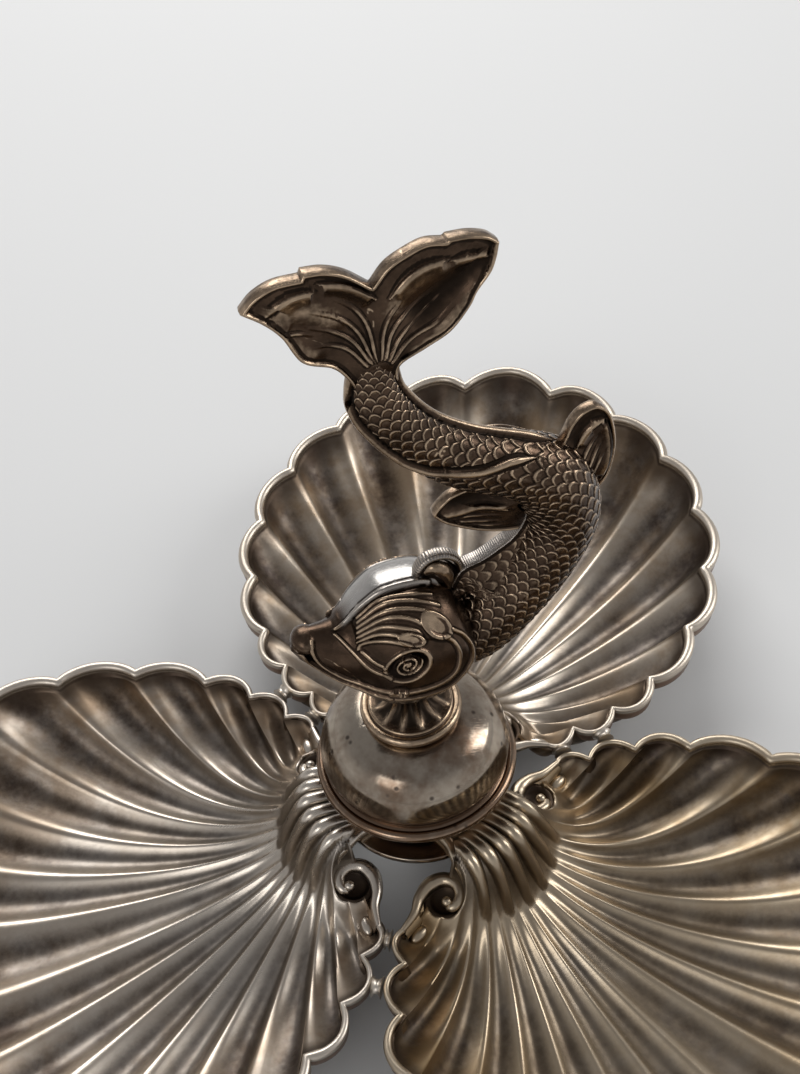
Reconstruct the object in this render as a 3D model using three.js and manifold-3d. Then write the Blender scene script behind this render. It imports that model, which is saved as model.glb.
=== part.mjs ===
// Serving tray: three scallop-shell dishes round a domed centre, with a standing dolphin as the handle.
// Millimetres. Z is up. The dolphin faces -X, over the axis of the left dish.
// Heights inside the pieces are measured from the underside of the dome's flange, called the datum.
import * as THREE from "three";
import { mergeVertices } from "three/addons/utils/BufferGeometryUtils.js";
import Module from "manifold-3d";

const wasm = await Module();
wasm.setup();
const deg = Math.PI / 180;

// Driving dimensions of the dishes
const dishAngles = { left: 180, back: 60, right: -60 }; // degrees about the centre line
const dishReach = 88; // centre line of the tray to the middle of a dish
const dishClearance = 0.9; // from a dish's lobes to the line midway to its neighbour
const lobeRise = 3.7; // how far a lobe stands out past the notches
const lobeSquareness = 0.7; // under 1 makes a lobe's outline fuller than a plain wave
const centreLobeRise = 4.4; // the extra rise of the lobe that points away from the dome
const dishDepth = 24; // rim to floor inside
const dishWall = 2.2; // height of the metal, measured straight up
const bowlPower = 3; // how squarely the floor turns up into the wall
const rimHeight = -13.3; // rim above the datum, beside the middle of the dish
const rimSlope = 6 / 70; // the rim climbs this much for each millimetre outwards
const lobesPerSide = 9.5; // lobes from the middle of the centre lobe to the last notch
const halfTurnBetweenDishes = 60 * deg;
// The notches lie on a circle that just clears the neighbouring dishes.
const notchRadius = dishReach * Math.sin(halfTurnBetweenDishes) - lobeRise - dishClearance;

// Dome and hub
const flangeRadius = 25.7;
const flangeBead = 1.5;
const domeHeight = 21.4;
const domeWall = 1.3;
const domeBodyInset = 1.8; // the dome's widest part, inside the edge of the flange
const domeSkirtRadius = 18.6;
const hubOverSkirt = 4.4; // the hub plate reaches this far past the skirt
const hubThickness = 1.8;

// The fan of flutes: angles seen from fanOrigin, curves that leave from flutePole
const fanOrigin = 24;
const poleInsideSkirt = 2.1;
const flutePole = domeSkirtRadius - poleInsideSkirt;
const fluteBend = 0.41; // share of its angle that a flute has still to turn at the hinge
const centreLobeFan = 13 * deg;
const lobeFan = 10.4 * deg;
const sideLobeFan = 8 * deg;
const evenLobes = 6.5; // lobes from the middle up to which the wider step holds

// The hinge of each dish, and the tab that the hub clamps
const tabStart = 9.5; // from the centre line
const tabHalfWidth = 8.5;
const tabSurface = -10; // top of the tab, from the datum
const tabPastSkirt = 0.4; // the tab is level this far past the dome's skirt
const rollRadius = 11; // the ribbed roll, measured from flutePole
const rollRise = 1.5;
const rollFootRadius = 20;
const rollFootLift = 4; // the foot of the roll above the bowl's own curve
const rollEndDrop = 1.2; // the roll sinks this much towards its scrolled ends
const scrollRadius = 5;
const scrollLength = 6;

// Collar
const collarRingRadius = 12.5;
const collarHeight = 12;
const collarNeckRadius = 5.2;
const collarNeckRing = 0.9; // the small ring stands out this much past the neck
const collarFlutes = 12;

// Fastenings
const rodRadius = 3;
const boreClearance = 0.3;
const seatGap = 0.3;
const rodInDolphin = 10;
const rodBelowNut = 1.5;
const nutAcross = 10;
const nutHeight = 5;
const washerRadius = 7;
const washerThickness = 1.5;
const rivetShank = 1.3;
const rivetHead = 2.6;
const rivetHeadHeight = 1;
const rivetHeadTaper = 0.8; // radius of a head's flat top, as a share of its edge
const rivetSpread = 4.2; // to each side of the dish's own axis
const rivetInsideSkirt = 0.7;
const rivetRing = domeSkirtRadius - domeWall - rivetHead - rivetInsideSkirt;

// Feet and handle
const tableClearance = 3.5; // under the lowest part of a dish
const datumHeight = tableClearance + dishWall + dishDepth - rimHeight; // table to datum
const footPastMiddle = 30; // from the middle of a dish out to its ball foot
const footReach = dishReach + footPastMiddle;
const footRadius = 4.2;
const footFlatRadius = 2.4;
const footNeckRadius = 2.3;
const footNeckLength = 1.1;
const dolphinHeight = 118.5; // chin to the top of the tail
const finThickness = 3;
const flukeThickness = 3.4;
const bridgeRadius = 1.6;
const cutThrough = 20; // how far a cutting cylinder runs past the metal

const silver = { color: 0xb3aca0, roughness: 0.3, metalness: 1 };
const tarnished = { color: 0x6e5f50, roughness: 0.38, metalness: 1 };
const steel = { color: 0x8b8d90, roughness: 0.45, metalness: 1 };

const tray = new THREE.Group();

function addPiece(parent, name, geometry, finish) {
  const mesh = new THREE.Mesh(geometry, new THREE.MeshStandardMaterial(finish));
  mesh.name = name;
  parent.add(mesh);
  return mesh;
}

// Geometry helpers
function toSolid(geometry) {
  const bare = geometry.clone();
  bare.deleteAttribute("normal");
  bare.deleteAttribute("uv");
  const merged = mergeVertices(bare, 1e-4);
  const vertProperties = merged.attributes.position.array;
  const triVerts = new Uint32Array(merged.index.array);
  return new wasm.Manifold(new wasm.Mesh({ numProp: 3, vertProperties, triVerts }));
}

function toGeometry(solid) {
  const mesh = solid.getMesh();
  const geometry = new THREE.BufferGeometry();
  geometry.setAttribute("position", new THREE.BufferAttribute(mesh.vertProperties, 3));
  geometry.setIndex(new THREE.BufferAttribute(mesh.triVerts, 1));
  geometry.computeVertexNormals();
  return geometry;
}

function fromFaces(points, faces) {
  const geometry = new THREE.BufferGeometry();
  geometry.setAttribute("position", new THREE.Float32BufferAttribute(points.flat(), 3));
  geometry.setIndex(faces.flat());
  geometry.computeVertexNormals();
  return geometry;
}

// A sheet of metal: rows of columns for its top, the same again for its underside, and its edges.
function sheetSolid(top, underside) {
  const rows = top.length;
  const columns = top[0].length;
  const points = [...top.flat(), ...underside.flat()];
  const below = rows * columns;
  const at = (row, column) => row * columns + column;
  const faces = [];
  const quad = (a, b, c, d) => faces.push([a, b, c], [a, c, d]);
  for (let row = 0; row < rows - 1; row++) {
    for (let column = 0; column < columns - 1; column++) {
      const corners = [
        at(row, column),
        at(row + 1, column),
        at(row + 1, column + 1),
        at(row, column + 1),
      ];
      quad(...corners);
      quad(...corners.map((corner) => corner + below).reverse());
    }
  }
  const edge = [];
  for (let column = 0; column < columns - 1; column++) edge.push(at(0, column));
  for (let row = 0; row < rows - 1; row++) edge.push(at(row, columns - 1));
  for (let column = columns - 1; column > 0; column--) edge.push(at(rows - 1, column));
  for (let row = rows - 1; row > 0; row--) edge.push(at(row, 0));
  edge.forEach((corner, index) => {
    const next = edge[(index + 1) % edge.length];
    quad(corner, next, next + below, corner + below);
  });
  return fromFaces(points, faces);
}

// A solid through closed rings of points, with a flat fan over the first and the last ring.
function ringSolid(rings) {
  const count = rings[0].length;
  const points = rings.flat();
  const faces = [];
  for (let ring = 0; ring < rings.length - 1; ring++) {
    for (let step = 0; step < count; step++) {
      const next = (step + 1) % count;
      const a = ring * count + step;
      const b = ring * count + next;
      faces.push([a, b, b + count], [a, b + count, a + count]);
    }
  }
  const last = (rings.length - 1) * count;
  for (let step = 1; step < count - 1; step++) {
    faces.push([0, step + 1, step], [last, last + step, last + step + 1]);
  }
  return fromFaces(points, faces);
}

function turned(profile, segments) {
  const points = profile.map(([radius, height]) => new THREE.Vector2(radius, height));
  return new THREE.LatheGeometry(points, segments).rotateX(Math.PI / 2);
}

function uprightCylinder(radius, bottom, top, sides) {
  const cylinder = new THREE.CylinderGeometry(radius, radius, top - bottom, sides);
  return cylinder.rotateX(Math.PI / 2).translate(0, 0, (top + bottom) / 2);
}

// The plan and height of a dish, in its own frame: X runs outwards from the tray's centre line.
function fanAngle(lobe) {
  const count = Math.abs(lobe);
  const centre = Math.min(count, 0.5) * centreLobeFan;
  const even = Math.min(Math.max(count - 0.5, 0), evenLobes - 0.5) * lobeFan;
  const side = Math.max(count - evenLobes, 0) * sideLobeFan;
  return Math.sign(lobe) * (centre + even + side);
}

function lobeStandOut(lobe) {
  const roundness = Math.abs(Math.cos(Math.PI * lobe)) ** lobeSquareness;
  return roundness * (lobeRise + centreLobeRise * Math.exp(-lobe * lobe));
}

function rimPoint(lobe) {
  const angle = fanAngle(lobe);
  const offset = dishReach - fanOrigin;
  const halfChord = Math.sqrt(notchRadius ** 2 - (offset * Math.sin(angle)) ** 2);
  const length = offset * Math.cos(angle) + halfChord;
  const aroundDish = Math.atan2(length * Math.sin(angle), length * Math.cos(angle) - offset);
  const radius = notchRadius + lobeStandOut(lobe);
  return [dishReach + radius * Math.cos(aroundDish), radius * Math.sin(aroundDish)];
}

function fluteRay(lobe) {
  const [x, y] = rimPoint(lobe);
  return { length: Math.hypot(x - flutePole, y), angle: Math.atan2(y, x - flutePole) };
}

function flutePoint(ray, radius) {
  const angle = ray.angle * (1 - fluteBend * (1 - radius / ray.length));
  return [flutePole + radius * Math.cos(angle), radius * Math.sin(angle)];
}

function rimLine(x) {
  return rimHeight + rimSlope * (x - dishReach);
}

function bowlHeight(x, y, lobe) {
  const share = Math.hypot(x - dishReach, y) / (notchRadius + lobeStandOut(lobe));
  return rimLine(x) - dishDepth * (1 - share ** bowlPower);
}

// Rows run from the clamped end of the tab, over the ribbed roll, down into the bowl and up to the rim.
function dishSurface() {
  const samplesPerLobe = 4;
  const half = lobesPerSide * samplesPerLobe;
  const bowlShares = [0.2, 0.5, 0.78, 1];
  const tabEnd = domeSkirtRadius + tabPastSkirt;
  const columns = [];
  for (let index = -half; index <= half; index++) {
    const lobe = index / samplesPerLobe;
    const across = index / half;
    const ray = fluteRay(lobe);
    const drop = rollEndDrop * across ** 2;
    const [rollX, rollY] = flutePoint(ray, rollRadius);
    const [footX, footY] = flutePoint(ray, rollFootRadius);
    const footHeight = bowlHeight(footX, footY, lobe) + rollFootLift;
    const column = [
      [tabStart, tabHalfWidth * across, tabSurface],
      [tabEnd, tabHalfWidth * across, tabSurface],
      [rollX, rollY, tabSurface + rollRise - drop],
      [footX, footY, footHeight],
    ];
    for (const share of bowlShares) {
      const radius = rollFootRadius + (ray.length - rollFootRadius) * share;
      const [x, y] = flutePoint(ray, radius);
      column.push([x, y, bowlHeight(x, y, lobe) + rollFootLift * (1 - share) ** 4]);
    }
    columns.push(column);
  }
  return columns[0].map((_, row) => columns.map((column) => column[row]));
}

function scrollEnd(side) {
  const ray = fluteRay(side * lobesPerSide);
  const [x, y] = flutePoint(ray, rollFootRadius);
  const top = rimLine(x);
  const length = scrollLength;
  return uprightCylinder(scrollRadius, top - length, top, 20).translate(x, y, 0);
}

function rivetPlaces(angle) {
  const reach = Math.sqrt(rivetRing ** 2 - rivetSpread ** 2);
  return [-rivetSpread, rivetSpread].map((y) => {
    return new THREE.Vector3(reach, y, 0).applyAxisAngle(new THREE.Vector3(0, 0, 1), angle);
  });
}

function rivetHole(x, y) {
  const radius = rivetShank + boreClearance;
  const hole = uprightCylinder(radius, tabSurface - cutThrough, tabSurface + cutThrough, 16);
  return toSolid(hole.translate(x, y, 0));
}

function shellDish() {
  const top = dishSurface();
  const underside = top.map((row) => row.map(([x, y, z]) => [x, y, z - dishWall]));
  let dish = toSolid(sheetSolid(top, underside));
  for (const side of [-1, 1]) dish = dish.add(toSolid(scrollEnd(side)));
  for (const place of rivetPlaces(0)) dish = dish.subtract(rivetHole(place.x, place.y));
  return toGeometry(dish);
}

function addDishes() {
  for (const [name, angle] of Object.entries(dishAngles)) {
    const holder = new THREE.Group();
    holder.rotation.z = angle * deg;
    tray.add(holder);
    addPiece(holder, `shell_dish_${name}`, shellDish(), silver);
    addPiece(holder, `ball_foot_${name}`, ballFoot(), silver);
  }
}

// Height of the dish's top along its own axis, on the straight runs between its rows.
function axisHeight(x) {
  const rows = dishSurface().map((row) => row[(row.length - 1) / 2]);
  const after = rows.findIndex((point) => point[0] > x);
  const [fromX, , fromZ] = rows[after - 1];
  const [toX, , toZ] = rows[after];
  return fromZ + ((toZ - fromZ) * (x - fromX)) / (toX - fromX);
}

// A ball foot stands flat on the table, and its neck reaches up to the underside of its dish.
function ballFoot() {
  const seat = axisHeight(footReach - footNeckRadius) - dishWall - seatGap;
  const bottom = -datumHeight;
  const profile = [[0, bottom]];
  const start = Math.asin(footFlatRadius / footRadius);
  const end = Math.PI - Math.asin(footNeckRadius / footRadius);
  const stretch = (seat - footNeckLength - bottom) / (Math.cos(start) - Math.cos(end));
  const steps = 6;
  for (let step = 0; step <= steps; step++) {
    const angle = start + ((end - start) * step) / steps;
    const height = bottom + stretch * (Math.cos(start) - Math.cos(angle));
    profile.push([footRadius * Math.sin(angle), height]);
  }
  profile.push([footNeckRadius, seat], [0, seat]);
  return turned(profile, 16).translate(footReach, 0, 0);
}

// Two small bars join each pair of dishes where their side lobes come closest.
function nearestToNeighbour(lobe) {
  const offsets = [-0.25, 0, 0.25]; // the outline's own points about the middle of the lobe
  const candidates = offsets.map((offset) => {
    const [x, y] = rimPoint(lobe + offset);
    return {
      along: x * Math.cos(halfTurnBetweenDishes) + y * Math.sin(halfTurnBetweenDishes),
      gap: x * Math.sin(halfTurnBetweenDishes) - y * Math.cos(halfTurnBetweenDishes),
      height: rimLine(x) - dishWall / 2,
    };
  });
  return candidates.reduce((best, next) => (next.gap < best.gap ? next : best));
}

function addBridges() {
  const pairs = { left_back: 120, back_right: 0, right_left: -120 };
  const lobes = { outer: lobesPerSide - 1.5, inner: lobesPerSide - 0.5 };
  for (const [pair, angle] of Object.entries(pairs)) {
    const holder = new THREE.Group();
    holder.rotation.z = angle * deg;
    tray.add(holder);
    for (const [place, lobe] of Object.entries(lobes)) {
      const { along, gap, height } = nearestToNeighbour(lobe);
      const bar = new THREE.CylinderGeometry(bridgeRadius, bridgeRadius, 2 * (gap - seatGap), 16);
      addPiece(holder, `bridge_${pair}_${place}`, bar.translate(along, 0, height), silver);
    }
  }
}

// The hub: a plate under the tabs, held to them by rivets, and the dome that stands on the tabs.
function hubPlate() {
  const top = tabSurface - dishWall - seatGap;
  const bottom = top - hubThickness;
  const bore = rodRadius + boreClearance;
  const edge = domeSkirtRadius + hubOverSkirt;
  const ring = [[bore, bottom], [edge, bottom], [edge, top], [bore, top], [bore, bottom]];
  let plate = toSolid(turned(ring, 40));
  for (const angle of Object.values(dishAngles)) {
    for (const place of rivetPlaces(angle * deg)) plate = plate.subtract(rivetHole(place.x, place.y));
  }
  return toGeometry(plate);
}

function rivet() {
  const top = tabSurface + seatGap;
  const bottom = tabSurface - dishWall - seatGap - hubThickness - seatGap;
  const profile = [
    [0, bottom - rivetHeadHeight],
    [rivetHead * rivetHeadTaper, bottom - rivetHeadHeight],
    [rivetHead, bottom],
    [rivetShank, bottom],
    [rivetShank, top],
    [rivetHead, top],
    [rivetHead * rivetHeadTaper, top + rivetHeadHeight],
    [0, top + rivetHeadHeight],
  ];
  return turned(profile, 14);
}

// The dome's bun shape: shares of its widest radius and of its height, from the flange to the top.
const domeBulge = [
  [0.95, 0.14], [1, 0.32], [0.945, 0.6], [0.8, 0.83], [0.5, 0.97], [0.2, 1],
];

function domeProfile() {
  const skirtBottom = tabSurface + seatGap;
  const skirtInside = domeSkirtRadius - domeWall;
  const beadTopRadius = flangeRadius - flangeBead;
  const bodyRadius = flangeRadius - domeBodyInset;
  const bulge = domeBulge.map(([radius, height]) => {
    return new THREE.Vector2(bodyRadius * radius, domeHeight * height);
  });
  const outer = new THREE.SplineCurve(bulge).getPoints(6).map((point) => [point.x, point.y]);
  const bore = rodRadius + boreClearance;
  const inner = outer.slice(1, -1).map(([radius, height]) => {
    return [radius - domeWall, height - domeWall * (height / domeHeight)];
  });
  return [
    [domeSkirtRadius, skirtBottom],
    [domeSkirtRadius, -flangeBead],
    [beadTopRadius, 0],
    [flangeRadius, flangeBead],
    [beadTopRadius, 2 * flangeBead],
    ...outer,
    [bore, domeHeight],
    [bore, domeHeight - domeWall],
    ...inner.reverse(),
    [(skirtInside + beadTopRadius) / 2, flangeBead],
    [skirtInside, flangeBead - domeWall],
    [skirtInside, skirtBottom],
    [domeSkirtRadius, skirtBottom],
  ];
}

// The collar: a moulded foot ring, a fluted waist and a small ring under the dolphin's chin.
// Heights are shares of its own height, and flute is how deep the hollows are at that height.
function flutedCollar() {
  const bottom = domeHeight + seatGap;
  const bore = rodRadius + boreClearance;
  const waistBottom = collarRingRadius * 0.8;
  const at = (share) => bottom + collarHeight * share;
  const profile = [
    { radius: bore, height: at(0), flute: 0 },
    { radius: collarRingRadius * 0.9, height: at(0), flute: 0 },
    { radius: collarRingRadius, height: at(0.08), flute: 0 },
    { radius: collarRingRadius * 0.9, height: at(0.2), flute: 0 },
    { radius: waistBottom, height: at(0.24), flute: 0.5 },
    { radius: waistBottom * 0.75, height: at(0.4), flute: 1.1 },
    { radius: collarNeckRadius, height: at(0.65), flute: 0.8 },
    { radius: collarNeckRadius, height: at(0.84), flute: 0.4 },
    { radius: collarNeckRadius + collarNeckRing, height: at(0.88), flute: 0 },
    { radius: collarNeckRadius + collarNeckRing, height: at(1), flute: 0 },
    { radius: bore, height: at(1), flute: 0 },
  ];
  const stepsPerFlute = 4;
  const segments = collarFlutes * stepsPerFlute;
  const points = [];
  const faces = [];
  for (const { radius, height, flute } of profile) {
    for (let step = 0; step < segments; step++) {
      const angle = (step / segments) * 2 * Math.PI;
      const hollow = flute * Math.abs(Math.sin((angle * collarFlutes) / 2));
      const reach = radius - hollow;
      points.push([reach * Math.cos(angle), reach * Math.sin(angle), height]);
    }
  }
  for (let row = 0; row < profile.length; row++) {
    const nextRow = (row + 1) % profile.length;
    for (let step = 0; step < segments; step++) {
      const next = (step + 1) % segments;
      const a = row * segments + step;
      const b = row * segments + next;
      const c = nextRow * segments + next;
      const d = nextRow * segments + step;
      faces.push([a, b, c], [a, c, d]);
    }
  }
  return fromFaces(points, faces);
}

function addHub() {
  addPiece(tray, "hub_plate", hubPlate(), silver);
  for (const [name, angle] of Object.entries(dishAngles)) {
    rivetPlaces(angle * deg).forEach((place, index) => {
      const piece = addPiece(tray, `hinge_rivet_${name}_${index + 1}`, rivet(), steel);
      piece.position.copy(place);
    });
  }
  addPiece(tray, "centre_dome", turned(domeProfile(), 40), silver);
  addPiece(tray, "fluted_collar", flutedCollar(), silver);
}

function addTieRod(chinHeight) {
  const plateBottom = tabSurface - dishWall - seatGap - hubThickness;
  const washerTop = plateBottom - seatGap;
  const nutTop = washerTop - washerThickness - seatGap;
  const nutBottom = nutTop - nutHeight;
  const bore = rodRadius + boreClearance;
  const washer = [
    [bore, washerTop - washerThickness],
    [washerRadius, washerTop - washerThickness],
    [washerRadius, washerTop],
    [bore, washerTop],
    [bore, washerTop - washerThickness],
  ];
  const nutCorner = nutAcross / 2 / Math.cos(30 * deg);
  const nutHole = toSolid(uprightCylinder(bore, nutBottom - cutThrough, nutTop + cutThrough, 24));
  const nut = toSolid(uprightCylinder(nutCorner, nutBottom, nutTop, 6)).subtract(nutHole);
  const rodTop = chinHeight + rodInDolphin - seatGap;
  addPiece(tray, "tie_rod", uprightCylinder(rodRadius, nutBottom - rodBelowNut, rodTop, 24), steel);
  addPiece(tray, "washer", turned(washer, 32), steel);
  addPiece(tray, "clamp_nut", toGeometry(nut), steel);
}

// The dolphin is drawn from its chin, 118.5 high, and scaled to dolphinHeight.
const drawnHeight = 118.5;

// Middle of the body, then its half depth in the plane of the curve and half thickness across it.
const bodySections = [
  { x: 0.3, z: 101, depth: 2.6, thick: 1.2 },
  { x: -0.4, z: 94, depth: 4.2, thick: 2.6 },
  { x: 0.1, z: 85.1, depth: 5.6, thick: 4.2 },
  { x: 6.4, z: 74.7, depth: 6.1, thick: 5.2 },
  { x: 16.6, z: 65.5, depth: 7, thick: 6.2 },
  { x: 27.8, z: 59.6, depth: 7.6, thick: 7.4 },
  { x: 35.2, z: 53.2, depth: 8.8, thick: 8.6 },
  { x: 38, z: 43, depth: 8.8, thick: 9 },
  { x: 34.2, z: 33, depth: 8.8, thick: 9.2 },
  { x: 27, z: 23.5, depth: 9.2, thick: 9.6 },
  { x: 16.9, z: 14.4, depth: 9.4, thick: 9.8 },
  { x: 8, z: 11, depth: 8, thick: 8.5 },
];

// Upright slices through the head, from the back of the gills to the tip of the snout.
const headSections = [
  { x: 14, top: 24, bottom: 5, thick: 10 },
  { x: 11, top: 30, bottom: 2, thick: 12.4 },
  { x: 6.5, top: 33.4, bottom: -0.6, thick: 14.2 },
  { x: 2, top: 34.6, bottom: -1.4, thick: 14.8 },
  { x: -4, top: 34.2, bottom: -0.8, thick: 14.6 },
  { x: -9, top: 31, bottom: 2, thick: 12.4 },
  { x: -13, top: 27.4, bottom: 5.2, thick: 8.8 },
  { x: -17, top: 26.8, bottom: 8.6, thick: 6 },
  { x: -21, top: 27, bottom: 14.4, thick: 4.2 },
  { x: -24, top: 26.2, bottom: 18.8, thick: 3 },
  { x: -25.8, top: 24, bottom: 21, thick: 1.4 },
];

const crestCentre = [9.4, 31.5];
const crestRadius = 5.2;

const tailOutline = [
  [0.7, 110.5], [3.9, 116], [10.3, 118.4], [16, 118], [24.2, 115.5], [22.8, 110], [18.9, 104.8],
  [13, 100], [6, 95.3], [4, 91], [-4.4, 91], [-7.3, 96.5], [-13.5, 99], [-19, 108.4], [-22.4, 113.7],
  [-16.3, 117], [-10.4, 118.3], [-5, 116.5],
];
const innerFinOutline = [[34, 54], [24, 54.5], [15.2, 54.6], [9.3, 51], [14, 47.8], [21.6, 43.4], [32, 39]];
const outerFinOutline = [
  [34, 56], [37.4, 62.9], [40.5, 68.7], [44.8, 70.5], [49.1, 64.4], [49.8, 56], [47.1, 47.9], [40, 46],
];

function ellipseRing(x, z, normalX, normalZ, depth, thick) {
  const sides = 16;
  const ring = [];
  for (let side = 0; side < sides; side++) {
    const angle = (side / sides) * 2 * Math.PI;
    const inPlane = depth * Math.cos(angle);
    ring.push([x + inPlane * normalX, thick * Math.sin(angle), z + inPlane * normalZ]);
  }
  return ring;
}

function dolphinBody() {
  const curve = new THREE.CatmullRomCurve3(bodySections.map(({ x, z }) => new THREE.Vector3(x, 0, z)));
  const stepsBetween = 2;
  const steps = (bodySections.length - 1) * stepsBetween;
  const rings = [];
  for (let step = 0; step <= steps; step++) {
    const place = step / stepsBetween;
    const before = bodySections[Math.floor(place)];
    const after = bodySections[Math.min(Math.floor(place) + 1, bodySections.length - 1)];
    const share = place - Math.floor(place);
    const depth = before.depth + (after.depth - before.depth) * share;
    const thick = before.thick + (after.thick - before.thick) * share;
    const point = curve.getPoint(step / steps);
    const tangent = curve.getTangent(step / steps);
    rings.push(ellipseRing(point.x, point.z, tangent.z, -tangent.x, depth, thick));
  }
  return ringSolid(rings);
}

function dolphinHead() {
  const rings = headSections.map(({ x, top, bottom, thick }) => {
    return ellipseRing(x, (top + bottom) / 2, 0, 1, (top - bottom) / 2, thick);
  });
  return ringSolid(rings);
}

function flatFin(outline, thickness) {
  const shape = new THREE.Shape(outline.map(([x, z]) => new THREE.Vector2(x, z)));
  const fin = new THREE.ExtrudeGeometry(shape, { depth: thickness, bevelEnabled: false });
  return fin.translate(0, 0, -thickness / 2).rotateX(Math.PI / 2);
}

function dolphin(chinHeight) {
  const scale = dolphinHeight / drawnHeight;
  const crest = new THREE.SphereGeometry(crestRadius, 16, 10).translate(crestCentre[0], 0, crestCentre[1]);
  let figure = toSolid(dolphinBody()).add(toSolid(dolphinHead()));
  figure = figure.add(toSolid(crest));
  figure = figure.add(toSolid(flatFin(tailOutline, flukeThickness)));
  figure = figure.add(toSolid(flatFin(innerFinOutline, finThickness)));
  figure = figure.add(toSolid(flatFin(outerFinOutline, finThickness)));
  const placed = toGeometry(figure).scale(scale, scale, scale).translate(0, 0, chinHeight);
  const under = new THREE.BoxGeometry(dolphinHeight, dolphinHeight, cutThrough);
  under.translate(0, 0, chinHeight - cutThrough / 2);
  const holeRadius = rodRadius + boreClearance;
  const hole = uprightCylinder(holeRadius, chinHeight - cutThrough, chinHeight + rodInDolphin, 24);
  return toGeometry(toSolid(placed).subtract(toSolid(under)).subtract(toSolid(hole)));
}

function addHandle() {
  const chinHeight = domeHeight + seatGap + collarHeight + seatGap;
  addPiece(tray, "dolphin_handle", dolphin(chinHeight), tarnished);
  addTieRod(chinHeight);
}

addDishes();
addBridges();
addHub();
addHandle();

// The part's origin is the middle of the ground under its bounding box.
tray.updateMatrixWorld(true);
const extent = new THREE.Box3().setFromObject(tray, true);
const part = new THREE.Group();
tray.position.set(
  -(extent.min.x + extent.max.x) / 2,
  -(extent.min.y + extent.max.y) / 2,
  -extent.min.z,
);
part.add(tray);

export default part;
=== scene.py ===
import math

import bmesh
import bpy
import numpy as np
from mathutils import Matrix, Vector


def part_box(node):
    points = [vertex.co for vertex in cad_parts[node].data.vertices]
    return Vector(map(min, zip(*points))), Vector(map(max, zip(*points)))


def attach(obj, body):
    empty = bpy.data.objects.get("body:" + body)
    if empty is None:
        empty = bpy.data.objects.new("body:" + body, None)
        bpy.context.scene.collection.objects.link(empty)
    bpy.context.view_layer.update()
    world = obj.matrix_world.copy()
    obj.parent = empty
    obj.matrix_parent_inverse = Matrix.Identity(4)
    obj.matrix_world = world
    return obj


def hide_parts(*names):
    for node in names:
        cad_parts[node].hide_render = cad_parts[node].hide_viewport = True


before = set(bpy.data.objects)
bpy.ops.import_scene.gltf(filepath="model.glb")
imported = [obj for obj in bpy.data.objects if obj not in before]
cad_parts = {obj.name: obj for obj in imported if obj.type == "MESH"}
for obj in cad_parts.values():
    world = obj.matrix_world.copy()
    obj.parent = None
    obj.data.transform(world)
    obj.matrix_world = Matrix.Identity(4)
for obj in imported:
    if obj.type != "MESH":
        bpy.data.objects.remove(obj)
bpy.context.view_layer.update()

# Three-section serving tray: silver shell dishes round a dome, with a standing dolphin as the handle.
# Shapes are worked out in millimetres, heights from the underside of the dome's flange.
mm = 0.001
domeHeight = 21.4
rodBore = 3.3
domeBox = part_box("centre_dome")
middleX = (domeBox[0].x + domeBox[1].x) / 2 / mm  # the upright centre line of the tray
datum = domeBox[1].z / mm - domeHeight  # height of the flange's underside above the table
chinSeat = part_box("dolphin_handle")[0].z / mm


# What the pieces share

def measure(low, high):
    # a box's middle in x and y, its underside, its top and its half width, in millimetres
    middle = (low.x + high.x) / 2 / mm, (low.y + high.y) / 2 / mm
    return *middle, low.z / mm, high.z / mm, (high.x - low.x) / 2 / mm


def smoothStep(low, high, value):
    share = np.clip((value - low) / (high - low), 0, 1)
    return share * share * (3 - 2 * share)


def smoothLine(points, steps):
    # a flowing curve through the points, with so many steps between each two
    points = np.asarray(points, float)
    padded = np.vstack([2 * points[0] - points[1], points, 2 * points[-1] - points[-2]])
    share = (np.arange(steps) / steps)[:, None]
    runs = []
    for index in range(1, len(padded) - 2):
        before, start, end, after = padded[index - 1 : index + 3]
        bend = 2 * before - 5 * start + 4 * end - after
        twist = 3 * start - before - 3 * end + after
        runs.append(start + 0.5 * ((end - before) * share + bend * share**2 + twist * share**3))
    return np.vstack(runs + [points[-1:]])


def distanceToLine(line, x, y):
    # how far each point is from a bent line, and how far along the line its nearest place is
    nearest = np.full(x.shape, np.inf)
    along = np.zeros(x.shape)
    for index in range(len(line) - 1):
        start, run = line[index], line[index + 1] - line[index]
        share = ((x - start[0]) * run[0] + (y - start[1]) * run[1]) / max(run @ run, 1e-9)
        share = np.clip(share, 0, 1)
        gap = np.hypot(x - start[0] - share * run[0], y - start[1] - share * run[1])
        along = np.where(gap < nearest, (index + share) / (len(line) - 1), along)
        nearest = np.minimum(gap, nearest)
    return nearest, along


def roundRidge(gap, halfWidth):
    # a half-round back: 1 on its middle line, 0 at its edges
    return np.sqrt(np.clip(1 - (gap / halfWidth) ** 2, 0, 1))


def runningTotal(steps):
    return np.concatenate([[0], np.cumsum(steps)])


def lengthsAlong(line):
    return runningTotal(np.linalg.norm(np.diff(line, axis=0), axis=1))


def headings(line):
    ahead = np.gradient(line, axis=0)
    return ahead / np.linalg.norm(ahead, axis=1, keepdims=True)


def fullTurn(sides, shift=0):
    return (np.arange(sides) + shift) / sides * 2 * math.pi


def ringPoints(radius, height, angle):
    return np.stack([radius * np.cos(angle), radius * np.sin(angle), height + 0 * angle], -1)


def arc(centre, radii, start, end, count):
    # points on part of an oval, between two angles in degrees
    angle = np.radians(np.linspace(start, end, count))
    return list(zip(centre[0] + radii[0] * np.cos(angle), centre[1] + radii[1] * np.sin(angle)))


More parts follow.
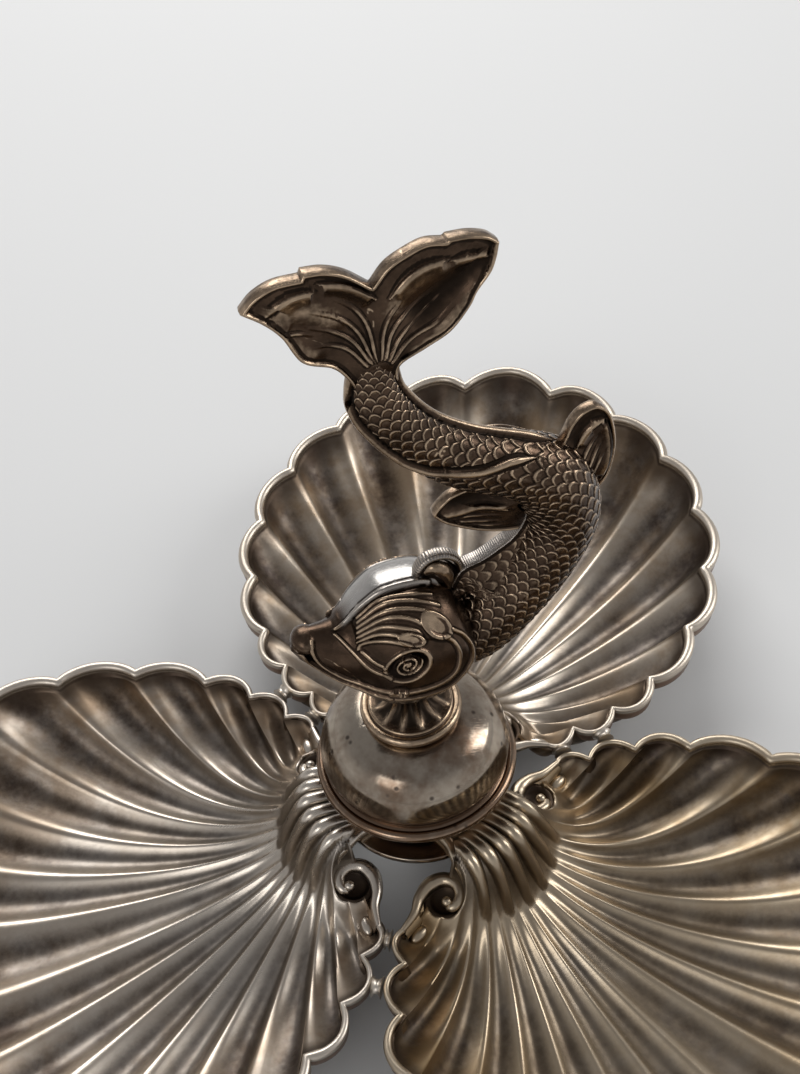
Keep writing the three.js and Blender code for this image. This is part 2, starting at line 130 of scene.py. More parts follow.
def sweepAlong(line, sideways, outward):
    # a cross-section carried along a curve in the upright plane
    ahead = headings(line)
    x, z = line[:, :1] - ahead[:, 1:] * outward, line[:, 1:] + ahead[:, :1] * outward
    return np.stack([x, sideways, z], -1)


def surfaceNormals(grid):
    normals = np.cross(np.gradient(grid, axis=0), np.gradient(grid, axis=1))
    return normals / np.maximum(np.linalg.norm(normals, axis=2, keepdims=True), 1e-9)


def facingOut(normals, grid, middle):
    return normals * np.sign(np.sum(normals * (grid - middle), -1))[..., None]


def newShape():
    return {"points": [], "tones": [], "faces": [], "count": 0}


def addGrid(shape, grid, relief=0.6, reach=0.0, outside=0.0, rowLoop=False, columnLoop=False, capped=False):
    # relief: 0 in a groove, 1 on a crest.  reach: 0 at the hinge, 1 at the rim.  outside: 1 under a dish.
    rows, columns = grid.shape[:2]
    number = shape["count"] + np.arange(rows * columns).reshape(rows, columns)
    firstRow, lastRow = number[0].tolist(), number[-1].tolist()
    if rowLoop:
        number = np.vstack([number, number[:1]])
    if columnLoop:
        number = np.hstack([number, number[:, :1]])
    corners = [number[:-1, :-1], number[1:, :-1], number[1:, 1:], number[:-1, 1:]]
    shape["faces"] += np.stack(corners, -1).reshape(-1, 4).tolist()
    if capped:
        shape["faces"] += [firstRow, lastRow[::-1]]
    tone = np.ones((rows, columns, 4))
    for channel, value in enumerate([relief, reach, outside]):
        tone[..., channel] = value
    shape["points"].append(grid.reshape(-1, 3))
    shape["tones"].append(tone.reshape(-1, 4))
    shape["count"] += rows * columns


def oneGrid(grid, **settings):
    shape = newShape()
    addGrid(shape, grid, **settings)
    return shape


def turnedShape(profile, segments, **tone):
    # a profile of radius and height, spun about the upright axis
    profile = np.asarray(profile, float)
    grid = ringPoints(profile[:, :1], profile[:, 1:2], fullTurn(segments))
    return oneGrid(grid, columnLoop=True, **tone)


def addTube(shape, line, radii, sides, relief):
    # a round wire along a line, closed at both ends
    ahead = headings(line)
    side = np.cross(ahead, [0.0, 0.0, 1.0])
    side /= np.maximum(np.linalg.norm(side, axis=1, keepdims=True), 1e-9)
    lift = np.cross(side, ahead)
    angle = fullTurn(sides)[:, None]
    ring = side[:, None] * np.cos(angle) + lift[:, None] * np.sin(angle)
    addGrid(shape, line[:, None] + ring * radii[:, None, None], relief=relief, columnLoop=True, capped=True)


def addBall(shape, centre, radii, relief):
    sides = 24
    lift = np.linspace(0, math.pi, sides // 2 + 1)[:, None]
    ball = ringPoints(np.sin(lift), np.cos(lift), fullTurn(sides))
    addGrid(shape, np.asarray(centre) + ball * np.asarray(radii), relief=relief, columnLoop=True)


def setPiece(name, shape, material, slotName, *nodes, turn=0.0, place=(0, 0, 0), sharpAngle=50):
    points = np.vstack(shape["points"])
    cos, sin = math.cos(turn), math.sin(turn)
    turned = np.stack([
        points[:, 0] * cos - points[:, 1] * sin,
        points[:, 0] * sin + points[:, 1] * cos,
        points[:, 2],
    ], -1)
    mesh = bpy.data.meshes.new(name)
    mesh.from_pydata(((turned + np.asarray(place)) * mm).tolist(), [], shape["faces"])
    tone = mesh.color_attributes.new(name="tone", type="FLOAT_COLOR", domain="POINT")
    tone.data.foreach_set("color", np.vstack(shape["tones"]).ravel())
    work = bmesh.new()
    work.from_mesh(mesh)
    bmesh.ops.remove_doubles(work, verts=work.verts, dist=1e-7)
    bmesh.ops.recalc_face_normals(work, faces=work.faces)
    work.to_mesh(mesh)
    work.free()
    mesh.polygons.foreach_set("use_smooth", [True] * len(mesh.polygons))
    mesh.set_sharp_from_angle(angle=math.radians(sharpAngle))
    piece = bpy.data.objects.new(name, mesh)
    bpy.context.scene.collection.objects.link(piece)
    piece.data.materials.append(material)
    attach(piece, "root")
    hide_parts(*nodes)


# Camera at the photograph's viewing angle

camera = {
    "place": (-0.0166, -0.1731, 0.3135),  # metres
    "along": (0.16334, 0.66712, -0.72682),
    "upwards": (0.27090, 0.67807, 0.68326),
    "lens": 41.43,
    "sensor": 36,
}


def setCamera():
    data = bpy.data.cameras.new("camera")
    data.lens = camera["lens"]
    data.sensor_width = camera["sensor"]
    back = -Vector(camera["along"]).normalized()
    right = Vector(camera["upwards"]).cross(back).normalized()
    turn = Matrix((right, back.cross(right), back)).transposed().to_4x4()
    holder = bpy.data.objects.new("camera", data)
    holder.matrix_world = Matrix.Translation(camera["place"]) @ turn
    bpy.context.scene.collection.objects.link(holder)
    bpy.context.scene.camera = holder


# Studio: a pale floor, a plain pale world that darkens overhead, and soft lamps

studio = {
    "floorSize": 6.0,
    "floorColour": (0.74, 0.74, 0.73),
    "horizon": (0.60, 0.60, 0.61),
    "overhead": (0.30, 0.30, 0.31),
    "lampsAim": (0.02, 0, 0.05),
    "lamps": [
        # name, place, size, watts
        ("backWindow", (0.15, 1.15, 1.0), (1.1, 0.7), 12.0),
        ("rightWindow", (1.1, -0.15, 0.7), (0.4, 0.8), 5.0),
        ("leftFill", (-0.9, -0.8, 0.8), (0.6, 0.6), 3.0),
    ],
}


def setStudio():
    half = studio["floorSize"] / 2
    corners = [(-half, -half, 0), (half, -half, 0), (half, half, 0), (-half, half, 0)]
    mesh = bpy.data.meshes.new("floor")
    mesh.from_pydata(corners, [], [(0, 1, 2, 3)])
    floor = bpy.data.objects.new("floor", mesh)
    floor.data.materials.append(paleFloor())
    bpy.context.scene.collection.objects.link(floor)
    for name, place, size, watts in studio["lamps"]:
        data = bpy.data.lights.new(name, "AREA")
        data.shape = "RECTANGLE"
        data.size, data.size_y = size
        data.energy = watts
        lamp = bpy.data.objects.new(name, data)
        lamp.location = place
        aim = Vector(studio["lampsAim"]) - Vector(place)
        lamp.rotation_euler = aim.to_track_quat("-Z", "Y").to_euler()
        bpy.context.scene.collection.objects.link(lamp)
    world = bpy.data.worlds.new("studio")
    world.use_nodes = True
    bpy.context.scene.world = world
    tree = world.node_tree
    way = addNode(tree, "ShaderNodeTexCoord").outputs["Generated"]
    rise = mapRange(tree, addNode(tree, "ShaderNodeSeparateXYZ", {0: way}).outputs["Z"], 0.05, 0.75)
    sky = mixColour(tree, rise, studio["horizon"], studio["overhead"])
    tree.links.new(sky, tree.nodes["Background"].inputs["Color"])
    bpy.context.scene.view_settings.view_transform = "Standard"


# Node helpers

def addNode(tree, kind, inputs=None, **settings):
    made = tree.nodes.new(kind)
    for key, value in settings.items():
        setattr(made, key, value)
    for key, value in (inputs or {}).items():
        if isinstance(value, bpy.types.NodeSocket):
            tree.links.new(value, made.inputs[key])
        else:
            made.inputs[key].default_value = value
    return made


def mapRange(tree, value, low, high):
    inputs = {"Value": value, "From Min": low, "From Max": high}
    return addNode(tree, "ShaderNodeMapRange", inputs, interpolation_type="SMOOTHSTEP").outputs["Result"]


def maths(tree, operation, first, second):
    return addNode(tree, "ShaderNodeMath", {0: first, 1: second}, operation=operation).outputs[0]


def times(tree, mask, *others):
    for other in others:
        mask = maths(tree, "MULTIPLY", mask, other)
    return mask


def sumOf(tree, base, *parts):
    # the base, plus a share of each mask
    for mask, share in parts:
        base = maths(tree, "ADD", base, times(tree, mask, share))
    return base


def mixColour(tree, factor, first, second):
    solid = [(*value, 1) if isinstance(value, tuple) else value for value in (first, second)]
    inputs = {0: factor, 6: solid[0], 7: solid[1]}
    return addNode(tree, "ShaderNodeMix", inputs, data_type="RGBA").outputs[2]


def coatOver(tree, colour, *coats):
    # each coat: a mask, how strong it is where the mask is 1, and its colour
    for mask, strength, coat in coats:
        colour = mixColour(tree, times(tree, mask, strength), colour, coat)
    return colour


def objectPlace(tree):
    return addNode(tree, "ShaderNodeTexCoord").outputs["Object"]


def noise(tree, where, scale, detail, roughness=0.5):
    inputs = {"Vector": where, "Scale": scale, "Detail": detail, "Roughness": roughness}
    return addNode(tree, "ShaderNodeTexNoise", inputs).outputs[0]


def toneChannels(tree):
    tone = addNode(tree, "ShaderNodeVertexColor", layer_name="tone")
    return addNode(tree, "ShaderNodeSeparateColor", {0: tone.outputs["Color"]}).outputs


def startGroup(name, inputs, outputs):
    group = bpy.data.node_groups.new(name, "ShaderNodeTree")
    for label, value in inputs.items():
        socket = group.interface.new_socket(name=label, in_out="INPUT", socket_type="NodeSocketFloat")
        socket.default_value = value
    for label in outputs:
        group.interface.new_socket(name=label, in_out="OUTPUT", socket_type="NodeSocketFloat")
    given = group.nodes.new("NodeGroupInput").outputs
    result = group.nodes.new("NodeGroupOutput").inputs
    return group, given, result


def useGroup(tree, group, **values):
    inputs = {key[0].upper() + key[1:]: value for key, value in values.items()}
    return addNode(tree, "ShaderNodeGroup", inputs, node_tree=group).outputs


# Shared effects, each a node group

def makeTarnishCloud():
    # drifting patches of tarnish, from 0 to 1
    group, given, result = startGroup("tarnishCloud", {"Size": 60.0, "Low": 0.4, "High": 0.6}, ["Mask"])
    where = objectPlace(group)
    wide = noise(group, where, given["Size"], 5.0, 0.6)
    fine = noise(group, where, times(group, given["Size"], 7.0), 3.0)
    mixed = sumOf(group, times(group, wide, 0.78), (fine, 0.22))
    group.links.new(mapRange(group, mixed, given["Low"], given["High"]), result["Mask"])
    return group


def makeWornRelief():
    # rubbed crests, and grooves for dirt and painted shade, read from the shape's own relief and its edges
    inputs = {"Low": 0.3, "High": 0.8, "Breakup": 0.2}
    group, given, result = startGroup("wornRelief", inputs, ["Crest", "Groove"])
    grain = maths(group, "SUBTRACT", noise(group, objectPlace(group), 900.0, 3.0), 0.5)
    edge = maths(group, "SUBTRACT", addNode(group, "ShaderNodeNewGeometry").outputs["Pointiness"], 0.5)
    total = sumOf(group, toneChannels(group)["Red"], (grain, given["Breakup"]), (edge, 2.0))
    group.links.new(mapRange(group, total, given["Low"], given["High"]), result["Crest"])
    group.links.new(mapRange(group, total, given["High"], 0.0), result["Groove"])
    return group


def makeFineScratches():
    # hairline wear in three directions, as a height
    group, given, result = startGroup("fineScratches", {"Size": 300.0}, ["Height"])
    where = objectPlace(group)
    heights = []
    for turn, stretch in ((0.5, 14.0), (-0.9, 22.0), (1.9, 17.0)):
        inputs = {"Vector": where, "Rotation": (0.3 * turn, 0.2, turn), "Scale": (1.0, stretch, 1.0)}
        turned = addNode(group, "ShaderNodeMapping", inputs).outputs[0]
        heights.append(mapRange(group, noise(group, turned, given["Size"], 2.0), 0.55, 0.72))
    total = sumOf(group, heights[0], (heights[1], 1.0), (heights[2], 1.0))
    group.links.new(total, result["Height"])
    return group


def makePitting():
    # small scattered pits, each a dark dot
    group, given, result = startGroup("pitting", {"Size": 350.0, "Share": 0.2}, ["Mask"])
    inputs = {"Vector": objectPlace(group), "Scale": given["Size"]}
    cells = addNode(group, "ShaderNodeTexVoronoi", inputs).outputs
    chance = addNode(group, "ShaderNodeSeparateColor", {0: cells["Color"]}).outputs["Red"]
    chosen = maths(group, "LESS_THAN", chance, given["Share"])
    group.links.new(times(group, mapRange(group, cells["Distance"], 0.35, 0.1), chosen), result["Mask"])
    return group


tarnishCloud = makeTarnishCloud()
wornRelief = makeWornRelief()
fineScratches = makeFineScratches()
pitting = makePitting()
print("shared shader groups made")


# Finishes

def startFinish(name):
    finish = bpy.data.materials.new(name)
    finish.use_nodes = True
    return finish, finish.node_tree


def wearOf(tree, look):
    clouds = useGroup(tree, tarnishCloud, **look["clouds"])["Mask"]
    worn = useGroup(tree, wornRelief, **look["wear"])
    scratches = useGroup(tree, fineScratches, size=look["scratchSize"])["Height"]
    return clouds, worn["Crest"], worn["Groove"], scratches


def endMetal(finish, colour, rough, height, bump):
    # a bare metal: its colour and gloss, and how deep and how strong its fine bump is
    tree = finish.node_tree
    shader = tree.nodes["Principled BSDF"].inputs
    shader["Metallic"].default_value = 1.0
    bumps = addNode(tree, "ShaderNodeBump", {"Height": height, "Distance": bump[0], "Strength": bump[1]})
    tree.links.new(colour, shader["Base Color"])
    tree.links.new(rough, shader["Roughness"])
    tree.links.new(bumps.outputs[0], shader["Normal"])
    return finish


def paleFloor():
    finish, tree = startFinish("pale_floor")
    shader = tree.nodes["Principled BSDF"].inputs
    grain = noise(tree, objectPlace(tree), 3.0, 4.0)
    darker = tuple(0.97 * value for value in studio["floorColour"])
    tree.links.new(mixColour(tree, grain, studio["floorColour"], darker), shader["Base Color"])
    shader["Roughness"].default_value = 0.6
    return finish


dishSilver = {
    "clean": (0.70, 0.655, 0.6), "straw": (0.52, 0.42, 0.285),
    "champagne": (0.275, 0.195, 0.138), "gold": (0.33, 0.235, 0.13),
    "brown": (0.05, 0.034, 0.024), "blueGrey": (0.32, 0.345, 0.39), "copper": (0.22, 0.13, 0.085),
    "warmth": {"left": 0.32, "back": 0.45, "right": 0.85},  # how golden each dish has turned
    "clouds": {"size": 38.0, "low": 0.36, "high": 0.62},
    "streaks": {"size": 90.0, "low": 0.36, "high": 0.68},
    "wear": {"low": 0.25, "high": 0.95, "breakup": 0.25},
    "scratchSize": 260.0, "polish": 0.25, "bump": (0.00001, 0.35),  # polish: roughness where it is clean
}


def shellSilver(name):
    finish, tree = startFinish("shell_silver_" + name)
    warmth = dishSilver["warmth"][name]
    channels = toneChannels(tree)
    reach, outside = channels["Green"], channels["Blue"]
    clouds, _, groove, scratches = wearOf(tree, dishSilver)
    streaks = useGroup(tree, tarnishCloud, **dishSilver["streaks"])["Mask"]
    far = mapRange(tree, reach, 0.35, 0.95)
    lip = maths(tree, "SUBTRACT", mapRange(tree, outside, 0.08, 0.28), mapRange(tree, outside, 0.3, 0.6))
    # tan stain in clouds, stronger towards the rim but rubbed off the lip
    stain = sumOf(tree, 0.14 + 0.35 * warmth, (far, 0.7))
    stain = times(tree, stain, sumOf(tree, 1.0, (lip, -0.75)), sumOf(tree, 0.4, (clouds, 0.6)))
    tan = mixColour(tree, warmth, dishSilver["champagne"], dishSilver["gold"])
    # dirt and painted shade in the flutes, with a cool bloom between the clouds
    dirtAndShade = times(tree, groove, sumOf(tree, 0.8, (far, 0.2)), sumOf(tree, 0.75, (streaks, 0.35)))
    cool = times(tree, sumOf(tree, 1.0, (clouds, -1.0)), groove)
    # a brown band just inside the lip: painted shade under the rim, with tarnish in its crease
    rimShadeAndTarnish = times(tree, mapRange(tree, reach, 0.93, 0.995), mapRange(tree, outside, 0.25, 0.0))
    colour = mixColour(tree, warmth * 0.85, dishSilver["clean"], dishSilver["straw"])
    beneath = mapRange(tree, outside, 0.55, 0.95)
    colour = coatOver(
        tree, colour, (stain, 1.0, tan), (dirtAndShade, 0.95, dishSilver["brown"]),
        (cool, 0.07, dishSilver["blueGrey"]), (rimShadeAndTarnish, 0.8, dishSilver["brown"]),
        (beneath, 0.8, dishSilver["copper"]),
    )
    rough = sumOf(tree, dishSilver["polish"], (stain, 0.14), (scratches, 0.03), (dirtAndShade, 0.1), (lip, 0.1))
    return endMetal(finish, colour, rough, scratches, dishSilver["bump"])


domeSilver = {
    "clean": (0.43, 0.375, 0.305), "brown": (0.16, 0.105, 0.07), "copper": (0.24, 0.15, 0.095),
    "pit": (0.04, 0.03, 0.025),
    "clouds": {"size": 70.0, "low": 0.35, "high": 0.68},
    "wear": {"low": 0.2, "high": 0.8, "breakup": 0.2},
    "pits": {"size": 420.0, "share": 0.12}, "pitDepth": 8.0,  # in scratch depths
    "scratchSize": 320.0, "polish": 0.11, "bump": (0.00001, 0.35),
}


def bunSilver():
    finish, tree = startFinish("dome_silver")
    clouds, _, groove, scratches = wearOf(tree, domeSilver)
    pits = useGroup(tree, pitting, **domeSilver["pits"])["Mask"]
    # copper low on the dome: tarnish, and a painted dark reflection; the groove coat is dirt in the valley
    # and painted shade on the underside
    low = times(tree, toneChannels(tree)["Green"], sumOf(tree, 0.5, (clouds, 0.4)))
    colour = mixColour(tree, clouds, domeSilver["clean"], domeSilver["brown"])
    colour = coatOver(
        tree, colour, (low, 1.0, domeSilver["copper"]), (groove, 0.8, domeSilver["brown"]),
        (pits, 0.8, domeSilver["pit"]),
    )
    rough = sumOf(tree, domeSilver["polish"], (clouds, 0.1), (scratches, 0.02))
    height = sumOf(tree, scratches, (pits, -domeSilver["pitDepth"]))
    return endMetal(finish, colour, rough, height, domeSilver["bump"])


castSilver = {
    "crest": (0.56, 0.42, 0.29), "skin": (0.10, 0.064, 0.043), "groove": (0.012, 0.009, 0.007),
    # the cap colour is also a painted highlight on the head's top
    "cap": (0.42, 0.40, 0.375),  # where the plating still shows white
    "clouds": {"size": 150.0, "low": 0.3, "high": 0.7},
    "wear": {"low": 0.62, "high": 1.0, "breakup": 0.35},
    "dirtAndShade": {"low": 0.3, "high": 0.55, "breakup": 0.3},
    "scratchSize": 700.0, "polish": 0.19, "bump": (0.00001, 0.5),
}


def oxidisedSilver(name, lighter):
    # a dark antique finish: bright where hands rub it, nearly black in the grooves
    finish, tree = startFinish(name)
    clouds, raised, _, scratches = wearOf(tree, castSilver)
    # the grooves' black patina, and the painted shading and shadows that the scales carry in their tone
    dirtAndShade = useGroup(tree, wornRelief, **castSilver["dirtAndShade"])["Groove"]
    rubbed = times(tree, raised, sumOf(tree, 0.95, (clouds, -0.55)))
    platingAndSheen = times(tree, toneChannels(tree)["Blue"], sumOf(tree, 1.0, (dirtAndShade, -1.0)))
    skin = coatOver(tree, castSilver["skin"], (clouds, 0.6, castSilver["groove"]))
    skin = mixColour(tree, lighter, skin, castSilver["crest"])
    colour = coatOver(
        tree, skin, (rubbed, 1.0, castSilver["crest"]), (dirtAndShade, 0.85, castSilver["groove"]),
        (platingAndSheen, 1.0, castSilver["cap"]),
    )
    rough = sumOf(tree, castSilver["polish"], (dirtAndShade, 0.2), (clouds, 0.08))
    return endMetal(finish, colour, rough, sumOf(tree, scratches, (clouds, 1.0)), castSilver["bump"])


steel = {
    "clean": (0.46, 0.46, 0.46), "dull": (0.24, 0.22, 0.2),
    "clouds": {"size": 220.0, "low": 0.35, "high": 0.65},
    "wear": {"low": 0.4, "high": 0.9, "breakup": 0.3},
    "scratchSize": 900.0, "polish": 0.3, "bump": (0.00002, 0.7),
}


def brushedSteel():
    finish, tree = startFinish("brushed_steel")
    clouds, _, groove, scratches = wearOf(tree, steel)
    colour = coatOver(tree, steel["clean"], (clouds, 1.0, steel["dull"]), (groove, 0.6, steel["dull"]))
    return endMetal(finish, colour, sumOf(tree, steel["polish"], (clouds, 0.15)), scratches, steel["bump"])


# Shell dishes: fluted bowl, rolled lip, ribbed hinge and a scrolled eye at each end of it

dish = {
    "angles": {"left": 180, "back": 60, "right": -60},  # degrees about the tray's centre line
    "reach": 88,  # centre line to the middle of a dish
    "clearance": 0.9,  # half the gap between two dishes
    "lobeRise": 3.7,  # how far a lobe stands out past the notches
    "centreLobeRise": 4.4,  # how much further the middle lobe does
    "lobeSquareness": 0.7,  # 1 is a plain wave, less is squarer
    "plainShare": 0.65,  # of a lobe's rise, where the outline without lobes runs
    "lobesGrow": (0.25, 0.97),  # shares of the way to the rim between which the bowl takes on its lobes
    "depth": 24,
    "bowlPower": 3,  # 2 is a round bowl, more has a flatter floor
    "rimHeight": -13.3,
    "rimSlope": 6 / 70,  # the rim rises away from the dome
    "lobesPerSide": 9.5,
    "rimEnd": 9.25,  # lobes from the middle to where the volutes take over
    "samplesPerLobe": 16,
    "bowlRows": 74,
    "metal": 1.7,
    "fluteDepth": 4.4,
    "fluteRoundness": 0.36,
    "fluteSquareness": 0.85,
    "flutesDeepen": (18, 34),  # radii from the pole between which the flutes deepen
    "flutesDarken": (20, 44),
    "slimEnds": 0.55,  # share by which the lip slims down towards the volutes
    "wallInset": 3.7,  # where the bowl ends and the lip's foot begins
    # across the lip, from inside to underneath: inset from the outline, height over it
    "wall": [(3.15, -2.95)],
    "lipRadius": 1.5,
    "skirt": [(0.35, -3.0), (0.45, -4.2), (0.6, -5.6), (1.3, -6.6)],
    "tuck": [(2.8, -7.2), (4.8, -7.9)],
    "underEnd": 4,  # rows of the bowl that its underside stops short of the rim
}
fan = {
    "origin": 24,  # where the rays to the rim's notches start
    "pole": 16.5, "bend": 0.41,  # where the flutes run together, and how much they bend on the way
    "even": 6.5,  # lobes of even width on each side of the middle, before the narrow ones
    "centreStep": math.radians(13), "step": math.radians(10.4), "sideStep": math.radians(8),
}
hinge = {
    "tabStart": 9.5, "tabEnd": 19, "tabHalfWidth": 8.5, "tabHeight": -10,
    "rollRadius": 12.5, "rollRise": 1.5, "footRadius": 24, "footLift": 9, "endDrop": 1.2,
    "tabRows": 5, "rollRows": 9, "slopeRows": 22,
    # ribs from the middle outwards, seen from above
    "ribs": [
        [(19, 1.9), (28, 2.1), (34, 2.3), (41, 3.2)],
        [(19, 5.6), (26, 6), (32.5, 6.8), (39, 9.6)],
        [(19, 9), (24.5, 9.8), (30, 11.2), (35.6, 15.4)],
    ],
    "ribHeight": 2.3,
    "ribHalfWidths": (1.95, 1.3),  # under the dome, and at the foot
    "outerRib": [(10.5, 8.6, -11.3), (15, 8.8, -11.2), (19, 9.5, -11), (22.5, 11.3, -11.2),
                 (27, 12.8, -14.6), (30.8, 16, -22)],
    "outerRibRadius": 1.6,
}
volute = {
    "centre": (24.3, 18.4), "ball": (25.7, 19.2, -18.5), "ballRadius": 1.4,
    # the curl after the lip's end: degrees about the eye, how far from it, height
    "curl": [(112, 8.6, -19.6), (140, 6.4, -19.5), (180, 5.2, -19.2), (225, 4.8, -18.8),
             (270, 4.4, -18.4), (315, 4, -18.4), (360, 3.5, -18.8), (405, 2.9, -19.5)],
    "wire": (0.7, 2.1, 1.2),
    "web": {"samples": 30, "sheetEnd": 23.3, "clear": 4.8, "inside": -21.4, "sag": 0.25, "metal": 1.1},
    # the sheet rises to the volute: height, how far it falls away, and between which distances
    "moundTop": -19.8, "moundDrop": 8, "moundStart": 5, "moundReach": 11.5, "moundFade": 2.5,
    "moundSoftness": 2.0,
    "dip": (3.9, 5.6), "dipDepth": 0.6,  # and it dips under the cup
    "bud": (24.3, 28.4, -23.4), "budRadii": (1.6, 3, 1.3),  # a raised drop in the last flute
    "cup": [(0, -22), (2.2, -21.9), (3.5, -21.2), (4.5, -19.9), (5.5, -20.3), (5.5, -24.2), (0, -25.5)],
}
notchRadius = dish["reach"] * math.sin(math.radians(60)) - dish["lobeRise"] - dish["clearance"]


def fanAngle(lobes):
    count = np.abs(lobes)
    centre = np.minimum(count, 0.5) * fan["centreStep"]
    even = np.clip(count - 0.5, 0, fan["even"] - 0.5) * fan["step"]
    side = np.maximum(count - fan["even"], 0) * fan["sideStep"]
    return np.sign(lobes) * (centre + even + side)


def lobeRise(lobes):
    return dish["lobeRise"] + dish["centreLobeRise"] * np.exp(-lobes * lobes)


def lobeStandOut(lobes):
    return np.abs(np.cos(math.pi * lobes)) ** dish["lobeSquareness"] * lobeRise(lobes)


def rimOutline(lobes, standOut):
    angle = fanAngle(lobes)
    offset = dish["reach"] - fan["origin"]
    length = offset * np.cos(angle) + np.sqrt(notchRadius**2 - (offset * np.sin(angle)) ** 2)
    around = np.arctan2(length * np.sin(angle), length * np.cos(angle) - offset)
    radius = notchRadius + standOut
    return dish["reach"] + radius * np.cos(around), radius * np.sin(around)


def slimming(lobes):
    return 1 - dish["slimEnds"] * smoothStep(5, 8.5, np.abs(lobes))


def rimLine(x):
    return dish["rimHeight"] + dish["rimSlope"] * (x - dish["reach"])


def bowlHeight(x, y, standOut):
    share = np.hypot(x - dish["reach"], y) / (notchRadius + standOut)
    return rimLine(x) - dish["depth"] * (1 - share ** dish["bowlPower"])


def lobeSamples():
    # places along the rim, closer together at the notches, where the ridges are
    half = round(dish["rimEnd"] * dish["samplesPerLobe"])
    even = np.arange(-half, half + 1) / dish["samplesPerLobe"]
    return even + 0.5 * np.sin(2 * math.pi * even) / (2 * math.pi)


def outlineNormals(x, y):
    alongX, alongY = np.gradient(x), np.gradient(y)
    length = np.hypot(alongX, alongY)
    blur = np.array([1, 2, 3, 2, 1]) / 9
    outX = np.convolve(np.pad(alongY / length, 2, mode="edge"), blur, "valid")
    outY = np.convolve(np.pad(-alongX / length, 2, mode="edge"), blur, "valid")
    length = np.hypot(outX, outY)
    return outX / length, outY / length


def dishInside(lobes):
    # rows from the clamped tab, over the ribbed roll, through the bowl to the foot of the lip
    standOut, plain = lobeStandOut(lobes), dish["plainShare"] * lobeRise(lobes)
    rim, plainRim = np.array(rimOutline(lobes, standOut)), np.array(rimOutline(lobes, plain))
    rayLength = np.hypot(rim[0] - fan["pole"], rim[1])
    across = lobes / dish["lobesPerSide"]
    outward = outlineNormals(*rim)
    wallInset = dish["wallInset"] * slimming(lobes)
    roll, foot = hinge["rollRadius"], hinge["footRadius"]
    rows, rowRadii = [], []

    def addRow(x, y, height, radius):
        rows.append(np.stack([x + 0 * lobes, y, height + 0 * lobes], -1))
        rowRadii.append(radius + 0 * lobes)

    def onFlute(radius, edge):
        length = np.hypot(edge[0] - fan["pole"], edge[1])
        angle = np.arctan2(edge[1], edge[0] - fan["pole"]) * (1 - fan["bend"] * (1 - radius / length))
        return fan["pole"] + radius * np.cos(angle), radius * np.sin(angle)

    def bowlRow(share):
        lobed = smoothStep(*dish["lobesGrow"], share)
        edge = plainRim + (rim - plainRim) * lobed
        length = np.hypot(edge[0] - fan["pole"], edge[1])
        x, y = onFlute(foot + (length - foot) * share, edge)
        inset = wallInset * share**4
        x, y = x - outward[0] * inset, y - outward[1] * inset
        height = bowlHeight(x, y, plain + (standOut - plain) * lobed)
        return x, y, height + hinge["footLift"] * (1 - share) ** 4

    tabEnd, tabY = hinge["tabEnd"], hinge["tabHalfWidth"] * across
    for x in np.linspace(hinge["tabStart"], tabEnd, hinge["tabRows"]):
        addRow(x, tabY, hinge["tabHeight"], 0)
    rollX, rollY = onFlute(roll, plainRim)
    for share in np.linspace(0.12, 1, hinge["rollRows"]):
        rise = (hinge["rollRise"] - hinge["endDrop"] * across**2) * smoothStep(0, 1, share)
        x, y = tabEnd + (rollX - tabEnd) * share, tabY + (rollY - tabY) * share
        addRow(x, y, hinge["tabHeight"] + rise, roll * (0.4 + 0.6 * share))
    # the slope down from the roll, which meets the bowl as steep as the bowl starts
    top, bottom = rows[-1][:, 2], bowlRow(0.0)[2]
    step = 0.01
    footSlope = (bowlRow(step)[2] - bottom) / (step * (rayLength - foot))
    run = foot - roll
    for share in np.linspace(0, 1, hinge["slopeRows"])[1:-1]:
        x, y = onFlute(roll + run * share, plainRim)
        fall = (bottom - top) * smoothStep(0, 1, share)
        addRow(x, y, top + fall + footSlope * run * (share**3 - share**2), roll + run * share)
    for share in 1 - (1 - np.linspace(0, 1, dish["bowlRows"]) ** 1.4) ** 1.2:
        addRow(*bowlRow(share), foot + (rayLength - foot) * share)
    radii = np.stack(rowRadii)
    return np.stack(rows), radii, radii / rayLength


def blurAcross(values, reach):
    # each value becomes the mean of its neighbours along its row
    columns = values.shape[1]
    padded = np.pad(values, ((0, 0), (reach, reach), (0, 0)), mode="edge")
    return sum(padded[:, start : start + columns] for start in range(2 * reach + 1)) / (2 * reach + 1)


def fluteHollow(lobes):
    # 0 on the ridge between two lobes, 1 in the middle of a lobe
    soft = dish["fluteRoundness"] ** 2
    power = dish["fluteSquareness"] / 2
    low, high = soft**power, (1 + soft) ** power
    return ((np.cos(math.pi * lobes) ** 2 + soft) ** power - low) / (high - low)


def ribRelief(base, radii):
    # rounded fingers that run out from under the dome, over the roll
    relief = np.zeros(radii.shape)
    wide, narrow = hinge["ribHalfWidths"]
    for rib in hinge["ribs"]:
        gap, along = distanceToLine(smoothLine(rib, 6), base[..., 0], np.abs(base[..., 1]))
        width = wide + (narrow - wide) * smoothStep(0.3, 1, along)
        relief = np.maximum(relief, roundRidge(gap, width) * (1 - smoothStep(0.75, 1, along)))
    return relief * smoothStep(3, 9, radii)


